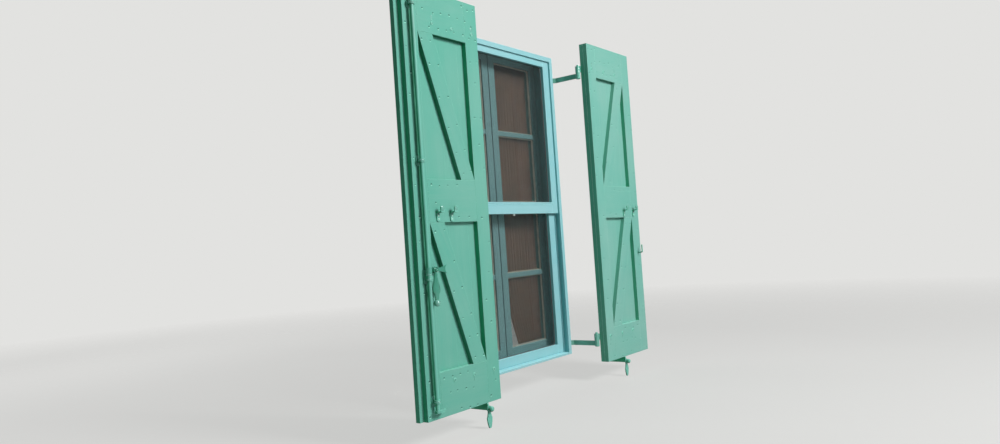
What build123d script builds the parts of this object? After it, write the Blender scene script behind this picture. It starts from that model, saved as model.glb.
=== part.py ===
# Pair of ledged and braced window shutters on pintles, with the sliding insect
# screens and the inward opening casement of the window frame they close.
# Millimetres. +X runs right along the wall, +Y goes into the wall, +Z is up.
# The origin is the middle of the window frame's underside.
# The shutters are modelled folded back against the wall face.
from build123d import *
import math
import os

# Shutter leaves
leaf_height = 1670.0
leaf_width = 449.0
board_thick = 22.0
frame_thick = 22.0
board_count = 4
stile_width = 80.0
bottom_rail = 172.0
lower_panel = 576.0
mid_rail = 171.0
top_rail = 173.0
brace_width = 80.0
arris = 0.8
tongue_thick = 6.0
tongue_depth = 5.0
tongue_clearance = 0.3
board_joint = 0.3
board_vee = 2.0
meeting_lip = 20.0
meeting_gap = 1.0
lip_setback = 1.5

# Pintle hinges
pintle_offset = 15.0
hinge_gap = 5.5
hinge_inset = 130.0
pin_radius = 6.0
eye_radius = 13.0
turning_clearance = 0.06
resting_clearance = 0.3
strap_height = 32.0
strap_thick = 5.0
strap_length = 322.0
strap_tip_height = 20.0
strap_point = 26.0
strap_shoulder = 60.0
collar_radius = 12.0
collar_height = 34.0
pin_nub = 8.0
tail_thick = 8.0
tail_height = 25.0
tail_crank_before_frame = 2.5
tail_crank_run = 36.0
tail_past_stop = 8.0

# Bolts through the straps and leaves
strap_bolt_from_pin = (43.0, 171.0, 290.0)
bolt_shank = 7.0
bolt_clearance = 0.3
bolt_head_radius = 7.5
bolt_crown_radius = 5.0
bolt_head_height = 3.5
bolt_head_sides = 8
bolt_nut = 13.0
bolt_nut_height = 4.5

# Locking rod of the left leaf
rod_radius = 8.0
rod_from_edge = 34.0
rod_standoff = 20.0
rod_end_margin = 30.0
bottom_guide_height = 73.0
handle_guide_height = 541.0
middle_guide_height = 985.0
top_guide_from_top = 79.0
guide_length = 14.0
handle_guide_length = 28.0
guide_wall = 4.0
guide_plate_width = 26.0
guide_plate_margin = 13.0
guide_plate_thick = 3.0
guide_web = 8.0
hook_thick = 10.0
hook_reach = 46.0
hook_hub_wall = 3.0
pinned_clearance = 0.03

# Handle of the locking rod
arm_eye_out = 30.0
arm_reach = 100.0
arm_thick = 6.0
arm_half_height = 6.5
arm_eye_radius = 12.5
arm_collar_height = 22.0
fishtail_half_height = 17.0
fishtail_notch = 9.0
handle_thick = 6.0
handle_length = 126.0
handle_knob_radius = 11.5
handle_eye_radius = 12.0
handle_half_width = 16.0
handle_neck = 5.5
rivet_radius = 4.0
rivet_head_radius = 8.0
rivet_head_height = 5.0
rivet_tail_radius = 6.0
rivet_tail_height = 2.5
catch_wire_radius = 3.5
catch_from_edge = 35.0
catch_reach = 30.0
catch_rise = 42.0
catch_play = 0.7
catch_flange = 2.0
catch_root = 16.0

# Cradles for a closing bar on the middle rails
cradle_width = 20.0
cradle_thick = 4.0
cradle_height = 60.0
cradle_throat = 20.0
cradle_tip = 22.0
cradle_above_rail_foot = 4.0
left_cradles_from_edge = (208.0, 128.0)
right_cradles_from_edge = (170.0, 61.0)

# Turning stops that hold the open leaves
left_stop_from_hinge = 90.0
right_stop_from_hinge = 180.0
stop_bar_thick = 8.0
stop_bar_height = 30.0
stop_bar_below_leaf = 0.6
stop_pivot_drop = 24.0
stop_pin_radius = 4.0
stop_tail = 60.0
stop_blade_gap = 0.8
stop_blade_thick = 5.0
stop_blade_length = 76.0
stop_blade_half_width = 16.0
stop_blade_head_radius = 12.5
stop_ball_radius = 11.5
stop_ball_flat = 1.5
stop_split = 22.0
stop_bar_nose = 4.0
stop_pin_root = 10.0

# Window frame
frame_depth = 145.0
reveal_depth = 126.0
rebate_cover = 24.0
frame_above_leaf_foot = 42.0
frame_below_leaf_top = 47.0
track_lip_width = 24.0
track_board = 16.0
casement_board = 12.0
front_stop = 10.0
track_width = 22.0
parting_bead = 4.0
back_stop = 47.0
sill_front = 10.0
sill_track = 12.0
sill_upstand = 32.0
sill_back = 24.0
fixing_radius = 4.0
fixing_inset = 190.0

# Sliding insect screens
sash_clearance = 0.5
sash_thick = 21.0
sash_stile_face = 50.0
lower_sash_bottom_rail = 45.0
meeting_rail = 58.0
meeting_rail_height = 749.0
lower_sash_top_rail = 48.0
lower_sash_hidden = 7.0
upper_sash_top_rail = 38.5
meeting_bead = 9.0
meeting_groove = 3.0
meeting_groove_depth = 3.0
screen_thick = 1.0
screen_groove = 4.0
screen_from_back = 4.0
latch_radius = 5.0
latch_drop = 9.0
latch_offset = 21.0

# Casement
casement_clearance = 1.5
casement_front_gap = 1.0
casement_meeting_stile = 48.5
casement_meeting_gap = 1.5
casement_meeting_bevel = 2.0
casement_outer_stile = 53.5
casement_bottom_rail = 59.5
casement_top_rail = 42.5
pane_rows = 4
glazing_bar = 24.0
glazing_bar_thick = 28.0
pane_thick = 3.0
pane_rebate = 5.0
pane_clearance = 0.5
pane_from_front = 14.0
casement_knuckle_radius = 6.0
casement_knuckle_gap = 0.5
casement_knuckle_height = 35.0
casement_pin_radius = 3.0
casement_hinge_inset = 220.0
glazing_bar_setback = 2.0
casement_flag_thick = 2.0
casement_flag_width = 25.0
casement_frame_flag = 11.0
casement_flag_lap = 2.0

# Net curtains on the casement
curtain_rod_radius = 3.0
curtain_rod_from_back = 4.5
curtain_rod_below_head = 10.0
curtain_rod_seat = 6.0
curtain_margin = 2.0
curtain_above_rail = 3.0
curtain_thick = 3.0
curtain_wave = 5.0
curtain_folds = 6

# Places worked out from the sizes
front_y = -frame_depth / 2
wall_y = front_y - reveal_depth
axis_y = wall_y - pintle_offset
axis_x = leaf_width + hinge_gap + meeting_gap / 2
hinge_edge = axis_x + hinge_gap
board_back = wall_y - 2 * pintle_offset
board_front = board_back - board_thick
leaf_front = board_front - frame_thick
leaf_foot = -frame_above_leaf_foot
leaf_top = leaf_foot + leaf_height
frame_half = leaf_width - rebate_cover
frame_top = leaf_top - frame_below_leaf_top
hinge_levels = (leaf_foot + hinge_inset, leaf_top - hinge_inset)
mid_rail_foot = leaf_foot + bottom_rail + lower_panel
upper_panel_foot = mid_rail_foot + mid_rail
upper_panel_top = leaf_top - top_rail

track_y1 = front_y + front_stop
track_y2 = track_y1 + track_width
track_y3 = track_y2 + parting_bead
track_y4 = track_y3 + track_width
track_y5 = track_y4 + back_stop
back_y = front_y + frame_depth
lip_x = frame_half - track_lip_width
track_x = frame_half - track_board
casement_x = frame_half - casement_board

middle_of_stop = (track_y4 + track_y5) / 2

rod_x = -(hinge_edge + leaf_width - rod_from_edge)
rod_y = leaf_front - rod_standoff
eye_x = rod_x + arm_eye_out
guide_top = leaf_foot + handle_guide_height + handle_guide_length / 2
arm_collar_foot = guide_top + resting_clearance
eye_z = arm_collar_foot + arm_collar_height / 2
arm_front = rod_y - arm_thick / 2
handle_back = arm_front - resting_clearance
handle_front = handle_back - handle_thick

casement_back = back_y
casement_front = track_y5 + casement_front_gap
casement_edge = casement_x - casement_clearance
casement_foot = sill_back + casement_clearance
casement_top = frame_top - casement_board - casement_clearance
pane_foot = casement_foot + casement_bottom_rail
pane_head = casement_top - casement_top_rail
pane_pitch = (pane_head - pane_foot) / pane_rows
pane_inner = casement_meeting_gap + casement_meeting_stile
pane_outer = casement_edge - casement_outer_stile
knuckle_y = casement_back + casement_knuckle_radius + casement_knuckle_gap
knuckle_x = (casement_x + casement_edge) / 2
curtain_rod_z = pane_head - curtain_rod_below_head
curtain_rod_y = casement_back - curtain_rod_from_back

catch_x = hinge_edge + leaf_width - catch_from_edge
catch_z = eye_z - handle_half_width * 0.8 - catch_wire_radius - catch_play
stop_level = leaf_foot - stop_pivot_drop
stop_blade_back = leaf_front - stop_blade_gap
stop_shoulder = stop_blade_back + resting_clearance
stop_blade_front = stop_blade_back - stop_blade_thick
stop_ball_back = stop_blade_front - resting_clearance


def block(x0, x1, y0, y1, z0, z1):
    middle = ((x0 + x1) / 2, (y0 + y1) / 2, (z0 + z1) / 2)
    return Pos(*middle) * Box(abs(x1 - x0), abs(y1 - y0), abs(z1 - z0))


def post(x, y, radius, z0, z1):
    return Pos(x, y, (z0 + z1) / 2) * Cylinder(radius, z1 - z0)


def bar_along_y(x, z, radius, y0, y1):
    return Pos(x, (y0 + y1) / 2, z) * Rot(90, 0, 0) * Cylinder(radius, y1 - y0)


def bar_along_x(y, z, radius, x0, x1):
    return Pos((x0 + x1) / 2, y, z) * Rot(0, 90, 0) * Cylinder(radius, abs(x1 - x0))


def along_z(points, z0, z1):
    face = make_face(Polyline(*points, close=True))
    return Pos(0, 0, z0) * extrude(face, z1 - z0, dir=(0, 0, 1))


def along_x(points, x0, x1):
    face = Plane.YZ * make_face(Polyline(*points, close=True))
    return Pos(x0, 0, 0) * extrude(face, x1 - x0, dir=(1, 0, 0))


def plate(edges, y0, y1):
    """Plate cut to an outline of edges drawn in X and Z, from y0 to y1."""
    face = Plane.XZ * make_face(edges)
    return Pos(0, y0, 0) * extrude(face, y1 - y0, dir=(0, 1, 0))


def plate_polygon(points, y0, y1):
    return plate(Polyline(*points, close=True), y0, y1)


def eased(part):
    """Takes the sharp arrises off a member's visible front face."""
    front = part.faces().sort_by(Axis.Y)[0]
    return chamfer(front.edges(), arris)


def save(shape, name):
    export_step(shape, "parts/" + name + ".step")


def save_group(shapes, name):
    save(Compound(list(shapes)), name)


def bolt_places(side):
    """X and Z of each bolt that goes through a strap and its leaf."""
    places = []
    for level in hinge_levels:
        for distance in strap_bolt_from_pin:
            places.append((side * (axis_x + distance), level))
    return places


def square_bar(x, z, size, y0, y1):
    half = size / 2
    return block(x - half, x + half, y0, y1, z - half, z + half)


def bolt_holes(side):
    size = bolt_shank + 2 * bolt_clearance
    return [square_bar(x, z, size, leaf_front - 5, wall_y) for x, z in bolt_places(side)]


def board_outline(u0, u1, grooved, tongued, lipped):
    """Plan of one board; u is measured from the leaf's hinge edge."""
    middle = (board_front + board_back) / 2
    half_tongue = tongue_thick / 2
    half_groove = half_tongue + tongue_clearance
    groove_depth = tongue_depth + tongue_clearance
    points = []
    if grooved:
        points += [(u0, board_front), (u0, middle - half_groove)]
        points += [(u0 + groove_depth, middle - half_groove)]
        points += [(u0 + groove_depth, middle + half_groove), (u0, middle + half_groove)]
        points += [(u0, board_back - board_vee), (u0 + board_vee, board_back)]
    else:
        points += [(u0, board_front), (u0, board_back)]
    if tongued:
        points += [(u1 - board_vee, board_back), (u1, board_back - board_vee)]
        points += [(u1, middle + half_tongue), (u1 + tongue_depth, middle + half_tongue)]
        points += [(u1 + tongue_depth, middle - half_tongue), (u1, middle - half_tongue)]
        points += [(u1, board_front)]
    elif lipped:
        lip_start = leaf_width + meeting_gap / 2
        points += [(u1, board_back), (u1, board_front + lip_setback)]
        points += [(lip_start, board_front + lip_setback), (lip_start, board_front)]
    else:
        points += [(u1, board_back), (u1, board_front)]
    return points


def leaf_boards(side, lipped):
    """Tongued and grooved vertical boards that face the street when closed."""
    total = leaf_width + meeting_lip if lipped else leaf_width - meeting_lip
    pitch = total / board_count
    boards = []
    for index in range(board_count):
        first = index == 0
        last = index == board_count - 1
        u0 = index * pitch
        u1 = (index + 1) * pitch - (0 if last else board_joint)
        outline = board_outline(u0, u1, not first, not last, last and lipped)
        points = [(side * (hinge_edge + u), y) for u, y in outline]
        boards.append(along_z(points, leaf_foot, leaf_top) - bolt_holes(side))
    return boards


def leaf_stile(side, u0):
    x0 = side * (hinge_edge + u0)
    x1 = side * (hinge_edge + u0 + stile_width)
    stile = eased(block(x0, x1, leaf_front, board_front, leaf_foot, leaf_top))
    return stile - bolt_holes(side)


def leaf_rail(side, z0, z1):
    x0 = side * (hinge_edge + stile_width)
    x1 = side * (hinge_edge + leaf_width - stile_width)
    return eased(block(x0, x1, leaf_front, board_front, z0, z1)) - bolt_holes(side)


def leaf_brace(side, z0, z1):
    """Brace from the free top corner of a panel to its hinge bottom corner."""
    inner = stile_width
    outer = leaf_width - stile_width
    width = outer - inner
    height = z1 - z0
    diagonal = math.hypot(width, height)
    lean = math.acos(brace_width / diagonal) - math.atan2(height, width)
    cut = brace_width / math.cos(lean)
    corners = [(outer, z1), (outer - cut, z1), (inner, z0), (inner + cut, z0)]
    points = [(side * (hinge_edge + u), z) for u, z in corners]
    return eased(plate_polygon(points, leaf_front, board_front))


def leaf_strap(side, level):
    """Flat strap on the wall side of a leaf with a rolled eye for the pintle."""
    half = strap_height / 2
    tip = strap_tip_height / 2
    tip_start = strap_length - strap_point
    outline = [(0, -half), (strap_shoulder, -half), (tip_start, -tip), (strap_length, 0)]
    outline += [(tip_start, tip), (strap_shoulder, half), (0, half)]
    points = [(side * (axis_x + u), level + z) for u, z in outline]
    bar = plate_polygon(points, board_back, board_back + strap_thick)
    eye = post(side * axis_x, axis_y, eye_radius, level - half, level + half)
    bore = post(side * axis_x, axis_y, pin_radius + turning_clearance, level - half, level + half)
    return bar + eye - bore - bolt_holes(side)


def strap_bolt(x, z):
    """Forged bolt: raised head on the room side, square shank and nut on the strap."""
    grip = board_back + strap_thick
    draft = math.degrees(math.atan2(bolt_head_radius - bolt_crown_radius, bolt_head_height))
    head = extrude(RegularPolygon(bolt_head_radius, bolt_head_sides), bolt_head_height, taper=draft)
    head = Pos(x, leaf_front, z) * Rot(90, 0, 0) * head
    shank = square_bar(x, z, bolt_shank, leaf_front, grip + bolt_nut_height)
    nut = square_bar(x, z, bolt_nut, grip, grip + bolt_nut_height)
    return head + shank + nut


def cradle(x):
    """Bent strip on the middle rail, with a shelf and an upturned tip."""
    y0 = leaf_front
    reach = cradle_throat + 2 * cradle_thick
    foot = mid_rail_foot + cradle_above_rail_foot
    top = foot + cradle_height
    shelf = top - cradle_tip
    half = cradle_width / 2
    points = [(y0, foot), (y0, top - cradle_tip), (y0 - cradle_throat - cradle_thick, shelf)]
    points += [(y0 - cradle_throat - cradle_thick, top), (y0 - reach, top)]
    points += [(y0 - reach, shelf - cradle_thick), (y0 - cradle_thick, shelf - cradle_thick)]
    points += [(y0 - cradle_thick, foot)]
    strip = along_x(points, x - half, x + half)
    rounded = strip.edges().filter_by(Axis.Y).group_by(Axis.Z)
    return chamfer(rounded[0] + rounded[-1], half * 0.4)


def cradles(side, distances):
    free_edge = hinge_edge + leaf_width
    return [cradle(side * (free_edge - distance)) for distance in distances]


def pintle(side, level):
    """Pin on a collar, with a cranked tail that runs back to the window frame."""
    x = side * axis_x
    eye_foot = level - strap_height / 2
    eye_top = level + strap_height / 2
    collar_top = eye_foot - resting_clearance
    collar_foot = collar_top - collar_height
    pin = post(x, axis_y, pin_radius, collar_foot, eye_top + pin_nub)
    pin = chamfer(pin.edges().sort_by(Axis.Z)[-1], 1.5)
    collar = post(x, axis_y, collar_radius, collar_foot, collar_top)
    collar = chamfer(collar.edges().sort_by(Axis.Z)[0], 2.0)
    half = tail_thick / 2
    y1 = front_y - tail_crank_before_frame
    y2 = y1 + tail_crank_run
    y3 = track_y5 + tail_past_stop
    u_in = axis_x - half
    u_out = axis_x + half
    shift = frame_half - u_in
    points = [(u_in, axis_y), (u_in, y1), (u_in + shift, y2), (u_in + shift, y3)]
    points += [(u_out + shift, y3), (u_out + shift, y2 + half / 2), (u_out, y1 + half / 2)]
    points += [(u_out, axis_y)]
    middle = (collar_foot + collar_top) / 2
    plan = [(side * u, y) for u, y in points]
    tail = along_z(plan, middle - tail_height / 2, middle + tail_height / 2)
    return pin + collar + tail


def rod_guide(z, length):
    """Guide with a plate on the stile and a ring round the locking rod."""
    half = length / 2
    plate_back = leaf_front
    plate_front = leaf_front - guide_plate_thick
    ring_radius = rod_radius + guide_wall
    plate_half = half + guide_plate_margin
    wide = guide_plate_width / 2
    base = block(rod_x - wide, rod_x + wide, plate_front, plate_back, z - plate_half, z + plate_half)
    base = chamfer(base.edges().filter_by(Axis.Y), wide * 0.5)
    web = block(rod_x - guide_web / 2, rod_x + guide_web / 2, rod_y, plate_back, z - half, z + half)
    ring = post(rod_x, rod_y, ring_radius, z - half, z + half)
    bore = post(rod_x, rod_y, rod_radius + turning_clearance, z - half, z + half)
    return base + web + ring - bore


def rod_hook(z):
    """Crescent claw that catches a pin above or below the closed leaves."""
    reach = hook_reach
    hub = rod_radius + hook_hub_wall
    outer = ThreePointArc((-hub * 0.5, -hub * 0.8), (reach * 0.6, -hub * 1.1), (reach, hub * 0.5))
    inner = ThreePointArc((reach, hub * 0.5), (reach * 0.55, -hub * 0.1), (0, hub * 0.9))
    closing = Line((0, hub * 0.9), (-hub * 0.5, -hub * 0.8))
    face = make_face([outer, inner, closing]) + Circle(hub)
    return Pos(rod_x, rod_y, z) * extrude(face, hook_thick, dir=(0, 0, 1))


def locking_rod():
    foot = leaf_foot + rod_end_margin
    head = leaf_top - rod_end_margin
    rod = post(rod_x, rod_y, rod_radius, foot, head)
    return rod + rod_hook(foot) + rod_hook(head - hook_thick)


def handle_arm():
    """Forged arm on the rod: collar, eye for the handle and fishtail end."""
    collar = post(rod_x, rod_y, rod_radius + guide_wall, arm_collar_foot,
                  arm_collar_foot + arm_collar_height)
    x0 = rod_x
    neck = eye_x + arm_eye_radius * 0.9
    end = rod_x + arm_reach
    half = arm_half_height
    tail = fishtail_half_height
    swell = (neck + end) / 2
    edges = [
        Line((x0, eye_z + half), (neck, eye_z + half)),
        ThreePointArc((neck, eye_z + half), (swell, eye_z + half * 1.25), (end, eye_z + tail)),
        ThreePointArc((end, eye_z + tail), (end - fishtail_notch, eye_z), (end, eye_z - tail)),
        ThreePointArc((end, eye_z - tail), (swell, eye_z - half * 1.25), (neck, eye_z - half)),
        Line((neck, eye_z - half), (x0, eye_z - half)),
        Line((x0, eye_z - half), (x0, eye_z + half)),
    ]
    blade = plate(edges, rod_y - arm_thick / 2, rod_y + arm_thick / 2)
    eye = bar_along_y(eye_x, eye_z, arm_eye_radius, rod_y - arm_thick / 2, rod_y + arm_thick / 2)
    rivet_hole = bar_along_y(eye_x, eye_z, rivet_radius + pinned_clearance, rod_y - 20, rod_y + 20)
    bore = post(rod_x, rod_y, rod_radius + pinned_clearance, eye_z - 30, eye_z + 30)
    return collar + blade + eye - rivet_hole - bore


def handle_rivet():
    back = rod_y + arm_thick / 2
    front = handle_front - resting_clearance
    outline = Polyline(
        (0, front - rivet_head_height),
        (rivet_head_radius * 0.6, front - rivet_head_height),
        (rivet_head_radius, front),
        (rivet_radius, front),
        (rivet_radius, back),
        (rivet_tail_radius, back),
        (rivet_tail_radius, back + rivet_tail_height),
        (0, back + rivet_tail_height),
        close=True,
    )
    return Pos(eye_x, 0, eye_z) * revolve(make_face(outline), Axis.Y)


def handle():
    """Hanging handle: flat leaf shape with an eye above and a ball below."""
    wide = handle_half_width
    knob_z = eye_z - handle_length
    edge = [(handle_neck, 9), (wide * 0.72, 42), (wide, 72), (wide * 0.8, 96), (handle_neck, 118)]
    right = [(eye_x + u, eye_z - drop) for u, drop in edge]
    left = [(eye_x - u, eye_z - drop) for u, drop in edge]
    sides = [ThreePointArc(*run) for points in (right, left) for run in (points[:3], points[2:])]
    ends = [Line(right[0], left[0]), Line(right[-1], left[-1])]
    paddle = plate(sides + ends, handle_front, handle_back)
    eye = bar_along_y(eye_x, eye_z, handle_eye_radius, handle_front, handle_back)
    middle = (handle_front + handle_back) / 2
    knob = Pos(eye_x, middle, knob_z) * Sphere(handle_knob_radius)
    radius = rivet_radius + turning_clearance
    hole = bar_along_y(eye_x, eye_z, radius, handle_front - 1, handle_back + 1)
    return paddle + eye + knob - hole


def handle_catch():
    """Wire hook on the right leaf that the closed handle drops into."""
    x = catch_x
    z = catch_z
    y0 = leaf_front + catch_root
    y1 = leaf_front - catch_reach + catch_wire_radius
    bend = catch_wire_radius
    path = Polyline((y0, z), (y1 + bend, z), (y1, z + bend), (y1, z + catch_rise))
    wire_path = Pos(x, 0, 0) * (Plane.YZ * path)
    section = Plane(origin=(x, y0, z), z_dir=(0, -1, 0)) * Circle(catch_wire_radius)
    wire = sweep(section, path=wire_path, transition=Transition.RIGHT)
    flange = bar_along_y(x, z, catch_wire_radius * 2, leaf_front - catch_flange, leaf_front)
    return wire + flange


def catch_hole():
    radius = catch_wire_radius + pinned_clearance
    return bar_along_y(catch_x, catch_z, radius, leaf_front - 1, leaf_front + catch_root)


def stop_x(side):
    return side * (hinge_edge + (left_stop_from_hinge if side < 0 else right_stop_from_hinge))


def stop_stem(side):
    """Flat bar let into the wall below a leaf, with a pin for the blade."""
    x = stop_x(side)
    half = stop_bar_thick / 2
    top = leaf_foot - stop_bar_below_leaf
    bar = block(x - half, x + half, stop_shoulder, wall_y + stop_tail, top - stop_bar_height, top)
    ends = bar.faces().sort_by(Axis.Y)[0].edges().filter_by(Axis.X)
    bar = chamfer(ends, stop_bar_nose)
    tail_end = wall_y + stop_tail
    split = block(x - half - 1, x + half + 1, tail_end - stop_split, tail_end + 1,
                  top - stop_bar_height * 0.6, top - stop_bar_height * 0.4)
    root = stop_shoulder + stop_pin_root
    pin = bar_along_y(x, stop_level, stop_pin_radius, stop_ball_back, root)
    return bar - split + pin


def stop_ball(side):
    """Ball on the end of the pin that keeps the blade on it."""
    x = stop_x(side)
    centre = stop_ball_back - stop_ball_radius + stop_ball_flat
    ball = Pos(x, centre, stop_level) * Sphere(stop_ball_radius)
    cut = block(x - 20, x + 20, stop_ball_back, stop_ball_back + 20, stop_level - 20, stop_level + 20)
    return ball - cut


def stop_blade(side):
    """Turning blade, modelled hanging clear of the leaf."""
    x = stop_x(side)
    z = stop_level
    wide = stop_blade_half_width
    length = stop_blade_length
    edge = [(0.5, 0.12), (0.62, 0.3), (1.0, 0.5), (0.8, 0.75), (0.4, 1.0)]
    right = [(x + wide * across, z - length * down) for across, down in edge]
    left = [(x - wide * across, z - length * down) for across, down in edge]
    sides = [ThreePointArc(*run) for points in (right, left) for run in (points[:3], points[2:])]
    ends = [Line(right[0], left[0]), ThreePointArc(left[-1], (x, z - length - 3), right[-1])]
    tongue = plate(sides + ends, stop_blade_front, stop_blade_back)
    head = bar_along_y(x, z, stop_blade_head_radius, stop_blade_front, stop_blade_back)
    radius = stop_pin_radius + turning_clearance
    hole = bar_along_y(x, z, radius, stop_blade_front - 1, stop_blade_back + 1)
    return tongue + head - hole


def track_outline(outer):
    """Section of a jamb or head: front stop, two tracks, casement rebate."""
    lip = outer - track_lip_width
    track = outer - track_board
    rebate = outer - casement_board
    points = [(outer, front_y), (outer, back_y), (rebate, back_y), (rebate, track_y5)]
    points += [(lip, track_y5), (lip, track_y4), (track, track_y4), (track, track_y3)]
    points += [(lip, track_y3), (lip, track_y2), (track, track_y2), (track, track_y1)]
    points += [(lip, track_y1), (lip, front_y)]
    return points


def head_member():
    """Head of the frame, mitred into the jambs."""
    section = [(y, z) for z, y in track_outline(frame_top)]
    bar = along_x(section, -frame_half, frame_half)
    low = frame_top - 60
    corner = [(-frame_half, frame_top), (frame_half, frame_top)]
    corner += [(frame_half - 60, low), (60 - frame_half, low)]
    return bar & plate_polygon(corner, front_y - 1, back_y + 1)


def jamb(side):
    section = [(side * x, y) for x, y in track_outline(frame_half)]
    upright = along_z(section, 0, frame_top)
    x0 = side * (frame_half + 1)
    x1 = side * (lip_x - 1)
    low = frame_top - 60
    corner = [(side * frame_half, frame_top), (side * (frame_half - 60), low)]
    corner += [(0, low), (0, frame_top)]
    mitre = plate_polygon(corner, front_y - 1, back_y + 1)
    holes = []
    for z in (fixing_inset, frame_top - fixing_inset):
        holes.append(bar_along_x(middle_of_stop, z, fixing_radius, min(x0, x1), max(x0, x1)))
    return upright - mitre - holes


def sill_member(jambs):
    points = [(front_y, 0), (back_y, 0), (back_y, sill_back), (track_y5, sill_back)]
    points += [(track_y5, sill_upstand), (track_y4, sill_upstand), (track_y4, sill_track)]
    points += [(front_y, sill_front)]
    return along_x(points, -frame_half, frame_half) - jambs


def sash(front, foot, top, bottom_height, top_height):
    """Four members of a sliding screen, grooved for the mesh."""
    back = front + sash_thick
    outer = track_x - sash_clearance
    inner = lip_x - sash_stile_face
    members = [
        eased(block(-outer, -inner, front, back, foot, top)),
        eased(block(inner, outer, front, back, foot, top)),
        eased(block(-inner, inner, front, back, foot, foot + bottom_height)),
        eased(block(-inner, inner, front, back, top - top_height, top)),
    ]
    y0 = back - screen_from_back - screen_thick
    groove = block(-inner - screen_groove, inner + screen_groove, y0, y0 + screen_thick,
                   foot + bottom_height - screen_groove, top - top_height + screen_groove)
    return [member - groove for member in members], groove


def meeting_groove_cut(front, foot):
    inner = lip_x - sash_stile_face
    top = foot + meeting_rail - meeting_bead
    return block(-inner, inner, front - 1, front + meeting_groove_depth, top - meeting_groove, top)


def sash_latch():
    y = (track_y1 + track_y2) / 2
    foot = meeting_rail_height
    return post(latch_offset, y, latch_radius, foot - latch_drop, foot)


def casement_grooves(side):
    """Clearance for each pane where it sits in the surrounding members."""
    y0 = casement_front + pane_from_front - pane_clearance
    y1 = y0 + pane_thick + 2 * pane_clearance
    margin = pane_rebate + pane_clearance
    cuts = []
    for foot, head in pane_spans():
        cuts.append(block(side * (pane_inner - margin), side * (pane_outer + margin), y0, y1,
                          foot - margin, head + margin))
    return cuts


def pane_spans():
    spans = []
    for row in range(pane_rows):
        low = pane_foot + row * pane_pitch + (glazing_bar / 2 if row else 0)
        high = pane_foot + (row + 1) * pane_pitch
        high -= glazing_bar / 2 if row < pane_rows - 1 else 0
        spans.append((low, high))
    return spans


def casement_members(side):
    front = casement_front
    back = casement_back
    outer = side * casement_edge
    near = side * pane_inner
    far = side * pane_outer
    bevelled = casement_meeting_gap + casement_meeting_bevel
    meeting = [(bevelled, front), (pane_inner, front), (pane_inner, back)]
    meeting += [(casement_meeting_gap, back)]
    plan = [(side * x, y) for x, y in meeting]
    members = [
        eased(along_z(plan, casement_foot, casement_top)),
        eased(block(far, outer, front, back, casement_foot, casement_top)),
        eased(block(near, far, front, back, casement_foot, pane_foot)),
        eased(block(near, far, front, back, pane_head, casement_top)),
    ]
    rod_seats = curtain_rod(side, curtain_rod_radius + pinned_clearance)
    return [member - casement_grooves(side) - rod_seats for member in members]


def glazing_bars(side):
    bars = []
    grooves = casement_grooves(side)
    for row in range(1, pane_rows):
        z = pane_foot + row * pane_pitch
        y0 = casement_front + glazing_bar_setback
        bar = block(side * pane_inner, side * pane_outer, y0, y0 + glazing_bar_thick,
                    z - glazing_bar / 2, z + glazing_bar / 2)
        bars.append(eased(bar) - grooves)
    return bars


def panes(side):
    y0 = casement_front + pane_from_front
    sheets = []
    for foot, head in pane_spans():
        x0 = side * (pane_inner - pane_rebate)
        x1 = side * (pane_outer + pane_rebate)
        sheets.append(block(x0, x1, y0, y0 + pane_thick, foot - pane_rebate, head + pane_rebate))
    return sheets


def casement_pin(side, z):
    """Frame half of a casement hinge: flag, lower knuckle and pin."""
    x = side * knuckle_x
    top = z + casement_knuckle_height
    knuckle = post(x, knuckle_y, casement_knuckle_radius, z, top)
    pin = post(x, knuckle_y, casement_pin_radius, top, top + casement_knuckle_height)
    flag = block(side * casement_x, side * (casement_x + casement_frame_flag), casement_back,
                 casement_back + casement_flag_thick, z, top)
    web = block(x, side * (casement_x + casement_flag_lap), casement_back, knuckle_y, z, top)
    return knuckle + pin + flag + web


def casement_knuckle(side, z):
    """Leaf half of a casement hinge: flag and upper knuckle."""
    x = side * knuckle_x
    foot = z + casement_knuckle_height + resting_clearance
    top = foot + casement_knuckle_height
    knuckle = post(x, knuckle_y, casement_knuckle_radius, foot, top)
    bore = post(x, knuckle_y, casement_pin_radius + turning_clearance, foot, top)
    flag = block(side * (casement_edge - casement_flag_width), side * casement_edge,
                 casement_back, casement_back + casement_flag_thick, foot, top)
    web = block(side * (casement_edge - casement_flag_lap), x, casement_back, knuckle_y, foot, top)
    return knuckle + flag + web - bore


def curtain_rod(side, radius=curtain_rod_radius):
    """Thin rod whose ends are set in the stiles, behind the glazing bars."""
    near = pane_inner - curtain_rod_seat
    far = pane_outer + curtain_rod_seat
    x0 = min(side * near, side * far)
    x1 = max(side * near, side * far)
    return bar_along_x(curtain_rod_y, curtain_rod_z, radius, x0, x1)


def curtain(side):
    """Gathered net curtain hanging below its rod."""
    x0 = pane_inner + curtain_margin
    x1 = pane_outer - curtain_margin
    count = 2 * curtain_folds
    half_fold = (x1 - x0) / count
    front = []
    back = []
    for index in range(count):
        x = x0 + half_fold * index
        crest = curtain_wave / 2 * (1 if index % 2 else -1)
        bend = [(0, 0), (half_fold / 2, crest), (half_fold, 0)]
        near = [(side * (x + u), curtain_rod_y - curtain_thick / 2 + v) for u, v in bend]
        far = [(u, v + curtain_thick) for u, v in near]
        front.append(ThreePointArc(*near))
        back.append(ThreePointArc(*far))
    ends = [Line(front[0] @ 0, back[0] @ 0), Line(front[-1] @ 1, back[-1] @ 1)]
    top = curtain_rod_z - curtain_rod_radius - resting_clearance
    face = make_face(front + back + ends)
    foot = pane_foot + curtain_above_rail
    return Pos(0, 0, foot) * extrude(face, top - foot, dir=(0, 0, 1))


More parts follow.
